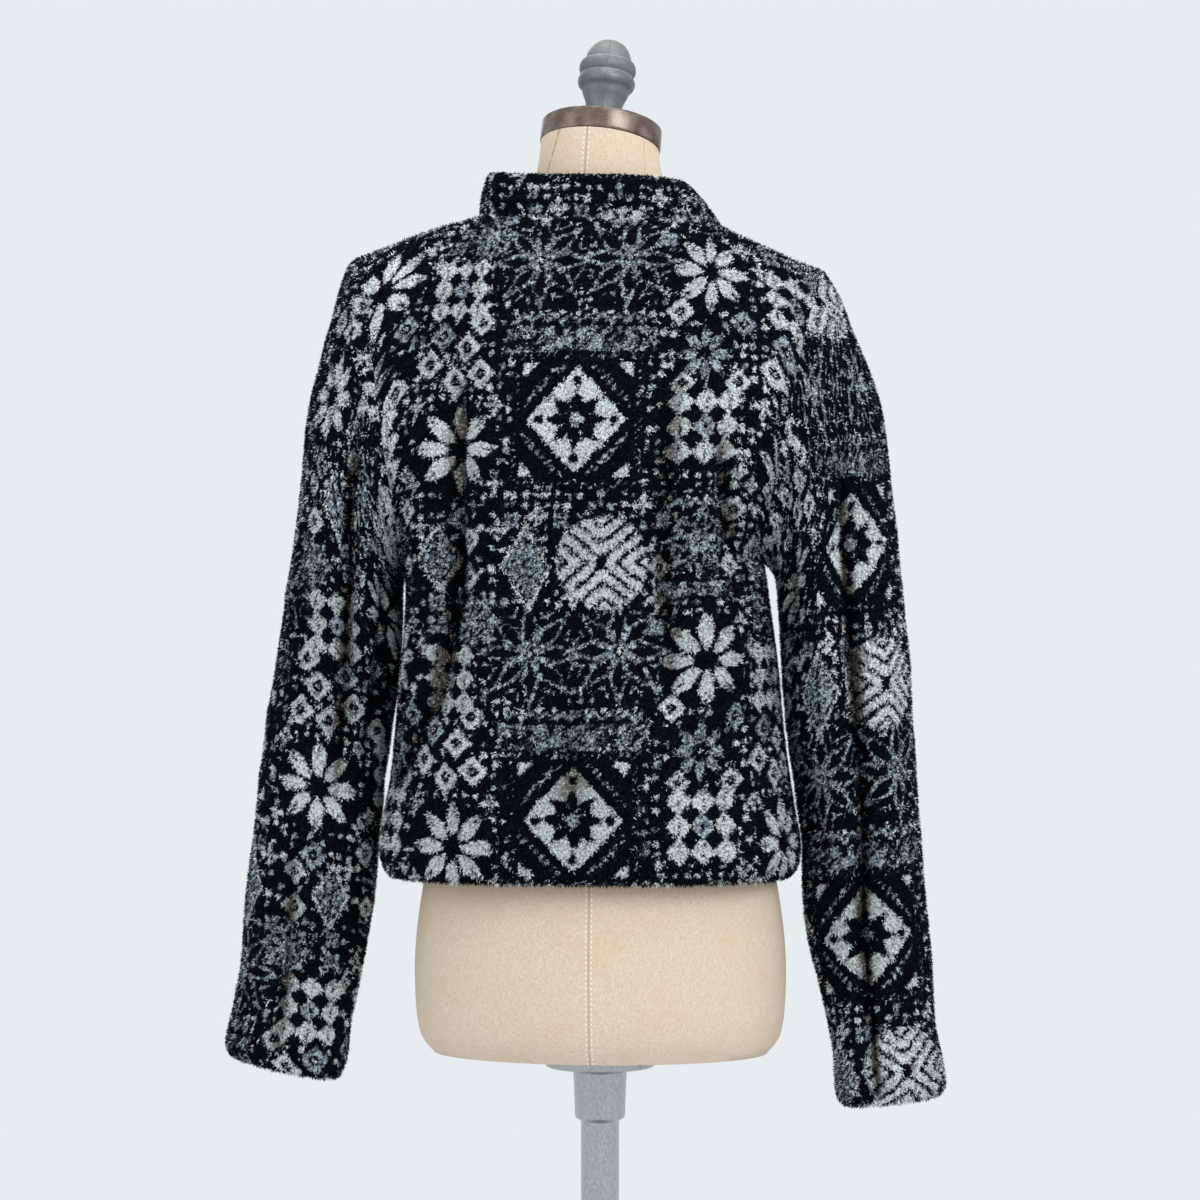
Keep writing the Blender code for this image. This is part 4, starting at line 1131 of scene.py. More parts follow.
def triangles(name, points, colours, normals, material):
    """Piece of loose triangles, with a colour for each corner and a direction for each one."""
    total = len(points)
    mesh = bpy.data.meshes.new(name)
    mesh.vertices.add(total * 3)
    mesh.vertices.foreach_set("co", points.astype(np.float32).ravel())
    mesh.loops.add(total * 3)
    mesh.loops.foreach_set("vertex_index", np.arange(total * 3, dtype=np.int32))
    mesh.polygons.add(total)
    mesh.polygons.foreach_set("loop_start", np.arange(0, total * 3, 3, dtype=np.int32))
    colours = np.concatenate([colours, np.ones((total, 3, 1))], -1)
    # Each corner's colour: the yarn's own colour together with its painted light and shade
    yarn = mesh.attributes.new("yarn", "FLOAT_COLOR", "POINT")
    yarn.data.foreach_set("color", colours.astype(np.float32).ravel())
    cells = math.ceil(math.sqrt(total))
    cell = np.stack([np.arange(total) % cells, np.arange(total) // cells], -1)
    places = (cell[:, None] + np.array(TUFT_CORNERS)) / cells
    layer = mesh.uv_layers.new(name="OFBake")
    layer.uv.foreach_set("vector", places.astype(np.float32).ravel())
    piece = placed(name, mesh, material)
    mesh.normals_split_custom_set_from_vertices(np.repeat(normals, 3, 0).tolist())
    return piece


def pile(name, laid, seed, material):
    """Short tufts of yarn all over a panel's outside, each in the colour of its own place."""
    *grids, closed = laid
    if closed:
        grids = [np.concatenate([grid, grid[:, :1]], 1) for grid in grids]
    outside, normals, across, up, sunk = grids
    rng = np.random.default_rng(seed)
    i, j, p, q = scattered(outside, rng)
    total = len(i)

    def between(grid):
        corners = (grid[i, j], grid[i + 1, j], grid[i, j + 1], grid[i + 1, j + 1])
        shares = ((1 - p) * (1 - q), p * (1 - q), (1 - p) * q, p * q)
        return sum(c * (s[:, None] if grid.ndim == 3 else s) for c, s in zip(corners, shares))

    root, normal, fold = between(outside), unit(between(normals)), between(sunk)
    jump = across[i, j + 1] - across[i, j]
    jump = np.where(np.abs(jump) < PATTERN_JUMP, jump, 0.0)
    at_across = across[i, j] + jump * q
    at_up = up[i, j] + (up[i + 1, j] - up[i, j]) * p
    middle, gap, own = clumps(at_across, at_up, CLUMP)
    dome = np.clip(1 - (gap / CLUMP_RADIUS) ** 2, 0.0, 1.0)[:, None]
    tint = tuft_tints(middle, dome, own, fold, root, rng)

    down = unit(-UPWARD + normal * (normal @ UPWARD)[:, None])
    side = np.cross(normal, down)
    turn = rng.uniform(0.0, 2 * math.pi, total)[:, None]
    across_way = unit(outside[i, j + 1] - outside[i, j]) * np.where(jump < 0, -1.0, 1.0)[:, None]
    up_way = unit(outside[i + 1, j] - outside[i, j])
    up_way = up_way * np.where(up[i + 1, j] < up[i, j], -1.0, 1.0)[:, None]
    off = np.stack([at_across, at_up], -1) - middle
    fan = (across_way * off[:, :1] + up_way * off[:, 1:]) / CLUMP
    lean = unit(down * np.cos(turn) + side * np.sin(turn) + fan * CLUMP_FAN)
    reach = rng.uniform(*TUFT_REACH, (total, 1))
    lifted = rng.uniform(*TUFT_LIFT, (total, 1)) + CLUMP_HIGH * dome
    wide = np.cross(lean, normal) * rng.uniform(*TUFT_HALF_WIDTH, (total, 1))
    root = root + normal * CLUMP_HIGH / 2 * dome
    tip = root + normal * lifted + lean * reach + down * TUFT_NAP
    points = np.stack([root - wide, root + wide, tip], 1)
    square = np.cross(points[:, 1] - points[:, 0], points[:, 2] - points[:, 0])
    inward = (square * normal).sum(-1) < 0
    points[inward] = points[inward][:, [1, 0, 2]]
    # Painted shade: each tuft's root corners darker than its tip
    colours = np.stack([tint * ROOT_SHADE, tint * ROOT_SHADE, tint], 1)
    soft = unit(normal + fan * CLUMP_SOFT + SOFT_STRAY * unit(rng.normal(size=(total, 3))))
    return triangles(name, points, colours, soft, material)


# Where the pattern lies on each sleeve, across and up
SLEEVE_SHIFT = {1: (0.020, 0.110), -1: (-0.075, 0.236)}


def sleeve(name, arm, material):
    """One sleeve: a tube from its armhole to its cuff."""
    samples = np.linspace(0.0, 1.0, SAMPLES)
    line_down = sleeve_points(arm, np.array(90.0), samples)
    runs, distances, length = spaced_along(samples, line_down, FLEECE / 2, HEM_THICK / 2)
    turn, run = np.meshgrid(np.arange(SLEEVE_SIDES) * 360 / SLEEVE_SIDES, runs)
    surface = sleeve_points(arm, turn, run)
    normals = sleeve_normals(arm, turn, run)
    folds = fold_lift(SLEEVE_FOLDS + cores(SLEEVE_FOLDS), arm, turn, run * 360, 360)
    creases = fold_lift(SLEEVE_CREASES, arm, turn, run * 360, 360)
    lift = folds * np.minimum(run / SLEEVE_FADE, 1.0)
    lift = lift + creases * np.minimum(run / ARMHOLE_FADE, 1.0)
    girth = lengths_across(np.concatenate([surface, surface[:, :1]], 1))
    across = girth[:, :-1] - np.where(turn > 180, girth[:, -1:], 0.0)
    up = lengths(surface[::-1])[::-1]
    shift = np.maximum(1 - run / ARMHOLE_FADE, 0.0)[..., None] * SEAM_GAP
    surface = surface + armhole_axis(arm) * shift
    from_cuff = length - distances
    thick = FLEECE + (HEM_THICK - FLEECE) * hem_layers(from_cuff)
    full = rounding(distances, FLEECE / 2) * rounding(from_cuff, HEM_THICK / 2)
    seam = np.minimum(distances, from_cuff * 2)
    thick, full, seam = (np.broadcast_to(a, turn.shape) for a in (thick, full[:, None], seam[:, None]))
    edges = {"full": full, "seam": seam}
    across, up = across + SLEEVE_SHIFT[arm][0], up + SLEEVE_SHIFT[arm][1]
    return cloth(name, surface, normals, lift, thick, edges, across, up, True, material)


FRONT_LAP_SHARE = LAP / ((BODY[-1][1] + BODY[-1][2]) / 2) / (math.pi / 2)
COLLAR_BLEND = 0.30
COLLAR_WAVE = 0.0006
COLLAR_WAVE_TURNS = (0.11, 0.043)
COLLAR_PATTERN_UP = 0.296
COLLAR_SAMPLES = 600


def collar(material):
    """Stand collar: a folded band that rises from the neck seam, open at the front middle."""
    last = 180 - FRONT_LAP_SHARE / NECK_SHARE * 90
    samples = np.linspace(-last, last, COLLAR_SAMPLES)
    line_round = neck_points(samples) * [1, 1, 0]
    turns, from_end, length = spaced_along(samples, line_round, COLLAR_THICK / 2, COLLAR_THICK / 2)
    from_seam = edge_spaced(COLLAR_HEIGHT, FLEECE / 2, COLLAR_THICK / 2)
    turn, high = np.meshgrid(turns, from_seam)
    climb = high / COLLAR_HEIGHT
    angle = np.radians(turn)
    seam = neck_points(turn)
    reach = np.where(turn >= 0, COLLAR_TOP["left"], COLLAR_TOP["right"])
    depth = np.where(np.abs(turn) <= 90, COLLAR_TOP["back"], COLLAR_TOP["front"])
    top = stack(reach * np.sin(angle), depth * np.cos(angle), seam[..., 2] + COLLAR_HEIGHT)
    outward = neck_outward(turn)
    face = neck_normals(turn)
    away = stack(0.0, 0.0, (face * outward).sum(-1)) - outward * face[..., 2:]
    bow = COLLAR_BOW * np.sin(math.pi * climb)
    surface = seam + (top - seam) * climb[..., None] + outward * bow[..., None]
    surface = surface + unit(away) * SEAM_GAP
    blend = smooth(climb / COLLAR_BLEND)[..., None]
    normals = unit(face * (1 - blend) + outward * blend)
    thick = FLEECE + (COLLAR_THICK - FLEECE) * blend[..., 0]
    ends = np.minimum(from_end, length - from_end)[None]
    full = rounding(ends, COLLAR_THICK / 2) * rounding(high, FLEECE / 2)
    full = full * rounding(COLLAR_HEIGHT - high, COLLAR_THICK / 2)
    edges = {"full": full, "seam": np.minimum(high, COLLAR_HEIGHT - high)}
    around = lengths_across(surface * [1, 1, 0])
    middle = around.shape[1] // 2
    across, up = around - around[:, middle : middle + 1], high + COLLAR_PATTERN_UP
    fast, slow = (turn * rate for rate in COLLAR_WAVE_TURNS)
    lift = COLLAR_WAVE * np.sin(fast + 1.0) * np.sin(slow)
    name = "collar_fleece"
    return cloth(name, surface, normals, lift, thick, edges, across, up, False, material)


def set_inputs(node, inputs, tree):
    """Number, colour or socket for each named input of a node."""
    for key, value in inputs.items():
        socket = node.inputs[key]
        if isinstance(value, bpy.types.NodeSocket):
            tree.links.new(value, socket)
        else:
            socket.default_value = value


def add_node(tree, kind, inputs=None, out=0, **settings):
    """Node of a kind with its inputs and settings; gives the chosen output."""
    node = tree.nodes.new("ShaderNode" + kind)
    for key, value in settings.items():
        setattr(node, key, value)
    set_inputs(node, inputs or {}, tree)
    return node.outputs[out]


def new_material(name, **fixed):
    """Material with one Principled shader, whose fixed values are set on its own sockets."""
    material = bpy.data.materials.new(name)
    material.use_nodes = True
    shader = material.node_tree.nodes["Principled BSDF"]
    for key, value in fixed.items():
        shader.inputs[key.replace("_", " ")].default_value = value
    return material, material.node_tree


def finished(material, tone, rough, bump=None):
    """Material joined to its colour, its roughness, and any bump of height, strength and depth."""
    tree = material.node_tree
    inputs = {"Base Color": tone, "Roughness": rough}
    if bump:
        parts = dict(zip(("Height", "Strength", "Distance"), bump))
        inputs["Normal"] = add_node(tree, "Bump", parts, out="Normal")
    set_inputs(tree.nodes["Principled BSDF"], inputs, tree)
    return material


def place_of(tree):
    """Place on the piece, in metres."""
    return add_node(tree, "TexCoord", out="Object")


def math_node(tree, operation, *values):
    """Result of one mathematical operation on numbers or sockets."""
    return add_node(tree, "Math", dict(enumerate(values)), operation=operation)


def product(tree, first, *others):
    """Numbers and sockets multiplied together."""
    for other in others:
        first = math_node(tree, "MULTIPLY", first, other)
    return first


def apart(tree, first, second):
    """How far apart two values are."""
    return math_node(tree, "ABSOLUTE", math_node(tree, "SUBTRACT", first, second))


def ranged(tree, value, low, high, to_low=0.0, to_high=1.0, soft=True):
    """Value brought from one range to another and held to it."""
    kind = "SMOOTHSTEP" if soft else "LINEAR"
    inputs = {"Value": value, "From Min": low, "From Max": high, "To Min": to_low, "To Max": to_high}
    return add_node(tree, "MapRange", inputs, interpolation_type=kind)


def mixed(tree, share, first, second):
    """Colour between two colours or sockets."""
    first, second = (c if isinstance(c, bpy.types.NodeSocket) else (*c, 1.0) for c in (first, second))
    return add_node(tree, "Mix", {"Factor": share, 6: first, 7: second}, out=2, data_type="RGBA")


def scaled(tree, tone, share):
    """Colour made darker or lighter."""
    return add_node(tree, "VectorMath", {0: tone, "Scale": share}, operation="SCALE")


def attribute(tree, name, out="Fac"):
    """Value that the piece's points carry."""
    return add_node(tree, "Attribute", out=out, attribute_name=name, attribute_type="GEOMETRY")


def speckle(tree, scale, detail=2.0, rough=0.5):
    """Noise over the piece; scale is in cells to the metre."""
    inputs = {"Vector": place_of(tree), "Scale": scale, "Detail": detail, "Roughness": rough}
    return add_node(tree, "TexNoise", inputs, out="Fac")


def pores(tree, scale):
    """Distance from the nearest of many scattered points; scale is in points to the metre."""
    return add_node(tree, "TexVoronoi", {"Vector": place_of(tree), "Scale": scale}, out="Distance")


THREAD_STRETCH = 0.16


def threads(tree, scale, along):
    """Fine threads that run along one axis."""
    stretch = [scale * (THREAD_STRETCH if k == along else 1.0) for k in range(3)]
    place = add_node(tree, "VectorMath", {0: place_of(tree), 1: stretch}, operation="MULTIPLY")
    return add_node(tree, "TexNoise", {"Vector": place, "Scale": 1.0, "Detail": 2.0})


def rough_from(tree, texture, low, high):
    """Roughness that follows a texture."""
    return ranged(tree, texture, 0.3, 0.7, low, high)


KNIT_BACK = ((0.016, 0.018, 0.022), (0.0352, 0.0396, 0.0484))
YARN_EDGE = 0.55


def fleece_material():
    """Curly pile in black, grey and off-white yarn, with a smooth knit back."""
    material, tree = new_material("fleece_ground", Specular_IOR_Level=0.04)
    curl = pores(tree, 400.0)
    fine = speckle(tree, 900.0, 2.0, 0.6)
    stray = math_node(tree, "MULTIPLY_ADD", speckle(tree, 470.0, 2.0, 0.65), 5.2, -2.6)
    covers = []
    for name in ("white", "grey"):
        depth = math_node(tree, "ADD", attribute(tree, name), stray)
        covers.append(ranged(tree, depth, -YARN_EDGE, YARN_EDGE))
    dark = mixed(tree, covers[1], YARN_BLACK, YARN_GREY)
    # Painted tan shade: off-white yarn turns tan in the troughs, in patches
    tan = product(tree, attribute(tree, "sunk"), speckle(tree, 55.0, 3.0, 0.6))
    pale = mixed(tree, ranged(tree, tan, 0.18, 0.62, 0.0, 0.85), YARN_WHITE, PAINTED_TAN_SHADE)
    tone = mixed(tree, covers[0], dark, pale)
    # Painted shade between the curls and painted light at their middles, times a random fine and broad
    # tone
    shade = product(
        tree,
        ranged(tree, curl, 0.12, 0.62, 1.12, 0.34, soft=False),
        ranged(tree, fine, 0.3, 0.7, 0.72, 1.2, soft=False),
        ranged(tree, speckle(tree, 9.0), 0.3, 0.7, 0.86, 1.1),
    )
    knit = mixed(tree, speckle(tree, 1400.0), *KNIT_BACK)
    tone = mixed(tree, attribute(tree, "lining"), scaled(tree, tone, shade), knit)
    rough = ranged(tree, fine, 0.2, 0.8, 0.86, 1.0)
    height = math_node(tree, "SUBTRACT", fine, curl)
    return finished(material, tone, rough, (height, 0.85, 0.0014))


def yarn_material():
    """Yarn of the tufts: the colour that each carries, its painted light and shade included, uneven along
    its length.
    """
    material, tree = new_material("yarn_tufts", Specular_IOR_Level=0.05)
    uneven = ranged(tree, speckle(tree, 1500.0, 2.0, 0.6), 0.25, 0.75, 0.72, 1.18, soft=False)
    broad = ranged(tree, speckle(tree, 9.0), 0.3, 0.7, 0.90, 1.08)
    tone = scaled(tree, attribute(tree, "yarn", "Color"), product(tree, uneven, broad))
    return finished(material, tone, rough_from(tree, speckle(tree, 700.0), 0.84, 1.0))


def turns(sides):
    """Angles evenly round a circle."""
    return np.arange(sides) * 2 * math.pi / sides


def ring_faces(rows, sides):
    """Quads that face out between rings of points, which turn counterclockwise and go up."""
    at = np.arange(rows * sides).reshape(rows, sides)
    after = np.roll(at, -1, axis=1)
    return np.stack([at[:-1], at[1:], after[1:], after[:-1]], -1).reshape(-1, 4)[:, ::-1].tolist()


def tube_faces(rows, sides):
    """Faces of such rings with both ends closed."""
    last = (rows - 1) * sides
    ends = [list(range(sides))[::-1], list(range(last, last + sides))]
    return ring_faces(rows, sides) + ends


def torso(material):
    """Torso and neck of the form, a little slimmer where the cardigan hides it."""
    heights = np.linspace(FORM[0][0], FORM[-1][0], FORM_ROWS)
    row = table_at(FORM_COLUMNS, FORM, heights)
    hidden = smooth((heights - HEM_Z) / FORM_HIDE[0])
    hidden = hidden * smooth((NECK_BACK_Z - heights) / FORM_HIDE[1])
    slim = (1 - FORM_SLIM * hidden)[:, None]
    angle = -turns(FORM_SIDES)
    x = row["half"][:, None] * slim * np.sin(angle)
    reach = np.where(np.cos(angle) > 0, row["back"][:, None], row["front"][:, None])
    y = reach * slim * np.cos(angle)
    forward = np.clip((heights - FORWARD_LOW_Z) / (CAP_SEAT_Z - FORWARD_LOW_Z), 0.0, 1.0) * CAP_TIP
    z = heights[:, None] + row["tip"][:, None] * FORM_LEAN * x + forward[:, None] * y
    points = stack(x, y, z).reshape(-1, 3)
    faces = tube_faces(FORM_ROWS, FORM_SIDES)
    piece = link_mesh("torso_canvas", points, faces, material)
    piece.data.set_sharp_from_angle(angle=TORSO_SHARP)
    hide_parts("form_torso")


def softened(profile, size):
    """Profile with a small round at each corner between its straight runs."""
    points = [np.array(p) for p in profile]
    made = [points[0]]
    for before, at, after in zip(points, points[1:], points[2:]):
        room = min(np.linalg.norm(before - at), np.linalg.norm(after - at)) * CORNER_ROOM
        near, far = (at + unit(end - at) * min(size, room) for end in (before, after))
        for share in CORNER_SHARES:
            made.append((1 - share) ** 2 * near + 2 * share * (1 - share) * at + share**2 * far)
    return made + [points[-1]]


def turned(name, profile, place, material, slot, node, tilt=(0.0, 0.0, 0.0), angles=None, swell=None):
    """Piece turned from a radius and height profile, from the top down to the axis."""
    angles = turns(TURNED_SIDES) if angles is None else angles
    sides = len(angles)
    rings = []
    for radius, height in profile[1:-1]:
        reach = radius + (swell(angles, radius, height) if swell else np.zeros(sides))
        rings.append(stack(reach * np.cos(angles), reach * np.sin(angles), height))
    points = np.concatenate(rings)
    count = len(points)
    faces = [face[::-1] for face in ring_faces(len(rings), sides)]
    for k in range(sides):
        n = (k + 1) % sides
        faces.append([count, k, n])
        faces.append([count + 1, count - sides + n, count - sides + k])
    ends = [(0.0, 0.0, profile[0][1]), (0.0, 0.0, profile[-1][1])]
    piece = link_mesh(name, np.concatenate([points, ends]), faces, material)
    piece.location = place
    piece.rotation_euler = tilt
    piece.data.set_sharp_from_angle(angle=TURNED_SHARP)
    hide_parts(node)
    return piece


def even_profile(profile):
    """Smooth curve through a profile's points, from its top on the axis to its foot."""
    points = np.array(profile[:-1])
    run = lengths(points)
    slopes = np.gradient(points, run, axis=0)
    at = np.linspace(0.0, run[-1], int(run[-1] / FINE_STEP))
    k = np.clip(np.searchsorted(run, at, side="right") - 1, 0, len(run) - 2)
    span = (run[k + 1] - run[k])[:, None]
    t = (at - run[k])[:, None] / span
    made = curve(t, points[k], slopes[k] * span, points[k + 1], slopes[k + 1] * span)
    made[:, 0] = np.maximum(made[:, 0], 0.0)
    return [*made, np.array(profile[-1])]


def finial_swell(angles, radius, height):
    """Raised mould seam on both sides of the casting, and the raised lip over each bead."""
    off = np.abs((angles - MOULD_SEAM + math.pi / 2) % math.pi - math.pi / 2)
    seam = MOULD_SEAM_HIGH * np.exp(-((off / MOULD_SEAM_WIDE) ** 2))
    lip = sum(LIP_HIGH * math.exp(-(((height - at) / LIP_WIDE) ** 2)) for at in FINIAL_LIPS)
    return seam * min(radius / MOULD_SEAM_FROM, 1.0) + lip


def seam_angles():
    """Angles round the finial, close together at its two mould seams."""
    even = turns(TURNED_SIDES)
    close = MOULD_SEAM + np.arange(-4, 5) * MOULD_SEAM_STEP
    fine = np.concatenate([close, close + math.pi]) % (2 * math.pi)
    gap = np.abs((even[:, None] - fine[None] + math.pi) % (2 * math.pi) - math.pi).min(1)
    return np.sort(np.concatenate([even[gap > MOULD_SEAM_CLEAR], fine]))


def stand():
    """Cap and finial on the neck; pole, flange and base below."""
    tilt = (math.atan(CAP_TIP), -math.atan(CAP_LEAN), 0.0)
    bronze = cap_material()
    cast = cast_material("cast_finial", (0.130, 0.152, 0.166), (0.185, 0.205, 0.212), lips=True)
    iron = cast_material("cast_base", (0.030, 0.034, 0.038), (0.050, 0.055, 0.060))
    cap_profile, pole_profile, base_profile = (
        softened(profile, CORNER_ROUND[key])
        for key, profile in (("cap", CAP_PROFILE), ("pole", POLE_PROFILE), ("base", BASE_PROFILE))
    )
    place = Vector((0.0, 0.0, CAP_SEAT_Z + SEAM_GAP))
    cap = turned("cap_bronze", cap_profile, place, bronze, "cap_metal", "form_cap", tilt)
    upward = cap.rotation_euler.to_matrix() @ Vector((0.0, 0.0, CAP_THICK + SEAM_GAP))
    turned(
        "finial_cast", even_profile(FINIAL_PROFILE), place + upward, cast, "cast_iron",
        "form_finial", tilt, seam_angles(), finial_swell,
    )
    origin = Vector((0.0, 0.0, 0.0))
    turned("pole_steel", pole_profile, origin, steel_material(), "steel", "form_pole")
    turned("base_cast", base_profile, origin, iron, "cast_iron", "form_base")


def thread_bar(first, second):
    """Points and faces of a short thread whose ends dip down."""
    first, second = np.array((*first, THREAD_Z)), np.array((*second, THREAD_Z))
    level = np.cross(UPWARD, unit(second - first))
    angles = turns(THREAD_SIDES)[:, None]
    around = THREAD_RADIUS * (np.cos(angles) * level + np.sin(angles) * UPWARD)
    rings = []
    for share in np.linspace(0.0, 1.0, THREAD_RINGS):
        rise = THREAD_RISE * math.sin(math.pi * share) ** THREAD_POWER - THREAD_SINK
        rings.append(first + (second - first) * share + rise * UPWARD + around)
    return np.concatenate(rings), tube_faces(THREAD_RINGS, THREAD_SIDES)


def dark_holes():
    """Points and faces of the four holes of a button: closed plugs, in painted shadow, that stand for
    them.
    """
    angles = turns(HOLE_SIDES)
    points, faces = [], []
    for x, y in HOLES:
        start = len(points) * HOLE_SIDES
        for z in (HOLE_BOTTOM, HOLE_TOP):
            points.append(stack(x + HOLE_RADIUS * np.cos(angles), y + HOLE_RADIUS * np.sin(angles), z))
        faces += [[start + n for n in face] for face in tube_faces(2, HOLE_SIDES)]
    return np.concatenate(points), faces


def buttons():
    """Six buttons with four holes each, sewn on with crossed thread."""
    horn, thread, hollow = horn_material(), thread_material(), hole_material()
    profile = softened(BUTTON_PROFILE, CORNER_ROUND["button"])
    middle = np.array(0.0)
    rows = np.linspace(0.0, 2.0, BUTTON_SAMPLES)
    row_heights = body_points(-1, middle, rows)[:, 2]
    for i, height in enumerate(np.linspace(BUTTON_LOW_Z, BUTTON_HIGH_Z, BUTTON_COUNT)):
        row = np.array(np.interp(height, row_heights, rows))
        normal = Vector(body_normals(-1, middle, row))
        seat = Vector(body_points(-1, middle, row)) + normal * BUTTON_GAP
        name = f"button_{i + 1}"
        pieces = [turned(name + "_disc", profile, seat, horn, "button", name)]
        for k, (first, second) in enumerate(((HOLES[0], HOLES[2]), (HOLES[3], HOLES[1]))):
            points, faces = thread_bar(first, second)
            pieces.append(link_mesh(f"{name}_thread_{k + 1}", points, faces, thread))
        points, faces = dark_holes()
        pieces.append(link_mesh(name + "_holes", points, faces, hollow))
        for piece in pieces:
            piece.location = seat
            piece.rotation_mode = "QUATERNION"
            piece.rotation_quaternion = normal.to_track_quat("Z", "Y")


# Canvas: colours of its weave, its blotches, the stain streaks on the neck (place, slant, half
# width, colour and amount), and the back seam with a row of stitches on each side
CANVAS_TONES = ((0.61, 0.475, 0.350), (0.75, 0.625, 0.495))
CANVAS_BLOTCH = (0.645, 0.48, 0.33)
STREAKS = (
    (0.0349, -0.311, 0.0009, (0.42, 0.25, 0.12), 0.8),
    (-0.0395, 0.04, 0.0007, (0.55, 0.37, 0.21), 0.5),
)
BACK_SEAM = (0.0072, -0.065, 0.0007)
SEAM_TONE = (0.34, 0.23, 0.14)
SEAM_AMOUNT = 0.45
STITCHES = (-0.0022, 0.0022)
STITCH_WIDE = 0.0006
STITCH_PITCH = 0.0042
STITCH_TONE = (0.86, 0.81, 0.73)
NECK_MIDDLE, NECK_FOOT, STRAIGHT_Z = 1.4895, 1.43, 1.25
LINE_EDGES = (0.5, 1.3)
LINE_FADE = 0.01


def near_line(tree, at_x, slope, half_wide, beside=0.0):
    """Mask of a thin line on the form's back: slanting on the neck, then down the middle."""
    x, y, z = add_node(tree, "SeparateXYZ", {0: place_of(tree)}).node.outputs
    rise = math_node(tree, "SUBTRACT", math_node(tree, "MAXIMUM", z, NECK_FOOT), NECK_MIDDLE)
    at = math_node(tree, "MULTIPLY_ADD", rise, slope, at_x)
    at = math_node(tree, "MULTIPLY_ADD", at, ranged(tree, z, STRAIGHT_Z, NECK_FOOT), beside)
    inner, outer = (half_wide * share for share in LINE_EDGES)
    mask = ranged(tree, apart(tree, x, at), inner, outer, 1.0, 0.0)
    return product(tree, mask, ranged(tree, y, 0.0, LINE_FADE)), z


def canvas_material():
    """Cream canvas over the form, with a sewn seam down its back and two faint streaks."""
    material, tree = new_material("form_canvas", Specular_IOR_Level=0.22, Sheen_Weight=0.05)
    weave = math_node(tree, "ADD", threads(tree, 1500.0, 2), threads(tree, 1500.0, 0))
    weave = product(tree, weave, 0.5)
    tone = mixed(tree, ranged(tree, weave, 0.36, 0.64), *CANVAS_TONES)
    blotch = ranged(tree, speckle(tree, 26.0, 3.0), 0.42, 0.72, 0.0, 0.35)
    tone = mixed(tree, blotch, tone, CANVAS_BLOTCH)
    for at_x, slope, wide, colour, amount in STREAKS:
        mask, z = near_line(tree, at_x, slope, wide)
        on_neck = ranged(tree, z, NECK_FOOT, NECK_FOOT + LINE_FADE)
        broken = ranged(tree, speckle(tree, 160.0), 0.32, 0.55, 0.2, 1.0)
        tone = mixed(tree, product(tree, mask, on_neck, broken, amount), tone, colour)
    seam, z = near_line(tree, *BACK_SEAM)
    tone = mixed(tree, product(tree, seam, SEAM_AMOUNT), tone, SEAM_TONE)
    dash = math_node(tree, "SINE", product(tree, z, 2 * math.pi / STITCH_PITCH))
    dash = ranged(tree, dash, -0.1, 0.2)
    rows = [near_line(tree, *BACK_SEAM[:2], STITCH_WIDE, offset)[0] for offset in STITCHES]
    stitch = product(tree, math_node(tree, "MAXIMUM", *rows), dash)
    tone = mixed(tree, stitch, tone, STITCH_TONE)
    rough = rough_from(tree, weave, 0.82, 0.95)
    height = math_node(tree, "ADD", weave, stitch)
    height = math_node(tree, "SUBTRACT", height, product(tree, seam, 2.0))
    return finished(material, tone, rough, (height, 0.5, 0.0005))


def cap_material():
    """Brown-bronze metal with a cloudy patina and fine scratches."""
    material, tree = new_material("cap_bronze", Metallic=0.75)
    cloud = speckle(tree, 55.0, 4.0, 0.6)
    patina = ranged(tree, cloud, 0.35, 0.68)
    tone = mixed(tree, patina, (0.125, 0.083, 0.063), (0.235, 0.185, 0.160))
    worn = ranged(tree, threads(tree, 900.0, 0), 0.58, 0.72, 0.0, 0.35)
    tone = mixed(tree, worn, tone, (0.34, 0.30, 0.28))
    rough = rough_from(tree, cloud, 0.55, 0.36)
    return finished(material, tone, rough, (speckle(tree, 420.0, 3.0), 0.25, 0.0004))


def cast_material(name, dark, light, lips=False):
    """Cast metal: slightly pitted; on the finial, with a painted highlight along each lip."""
    material, tree = new_material(name, Metallic=0.45, Specular_IOR_Level=0.45)
    cloud = speckle(tree, 70.0, 4.0, 0.6)
    tone = mixed(tree, ranged(tree, cloud, 0.34, 0.68), dark, light)
    if lips:
        z = add_node(tree, "SeparateXYZ", {0: place_of(tree)}, out="Z")
        warm = ranged(tree, z, 0.054, 0.060, 0.0, 0.75)
        tone = mixed(tree, warm, tone, (0.215, 0.222, 0.212))
        # Painted highlight: pale thin lines along each lip, broken up by the cloud
        for at in FINIAL_LIPS:
            lip_glint = ranged(tree, apart(tree, z, at), 0.0004, 0.0012, 0.8, 0.0)
            tone = mixed(tree, product(tree, lip_glint, cloud), tone, (0.52, 0.57, 0.58))
    pits = ranged(tree, pores(tree, 620.0), 0.0, 0.35)
    height = math_node(tree, "ADD", pits, speckle(tree, 300.0, 3.0))
    return finished(material, tone, rough_from(tree, cloud, 0.62, 0.44), (height, 0.22, 0.0005))


def steel_material():
    """Brushed steel tube."""
    material, tree = new_material("pole_steel", Metallic=0.95)
    brushed = threads(tree, 1800.0, 2)
    tone = mixed(tree, ranged(tree, brushed, 0.35, 0.65), (0.36, 0.365, 0.37), (0.52, 0.525, 0.53))
    return finished(material, tone, rough_from(tree, brushed, 0.26, 0.40))


def horn_material():
    """Dark horn-like button with a cloudy grain."""
    material, tree = new_material("button_horn", Specular_IOR_Level=0.28)
    grain = speckle(tree, 260.0, 4.0, 0.6)
    tone = mixed(tree, ranged(tree, grain, 0.38, 0.66), (0.008, 0.008, 0.009), (0.045, 0.040, 0.036))
    return finished(material, tone, rough_from(tree, grain, 0.24, 0.38))


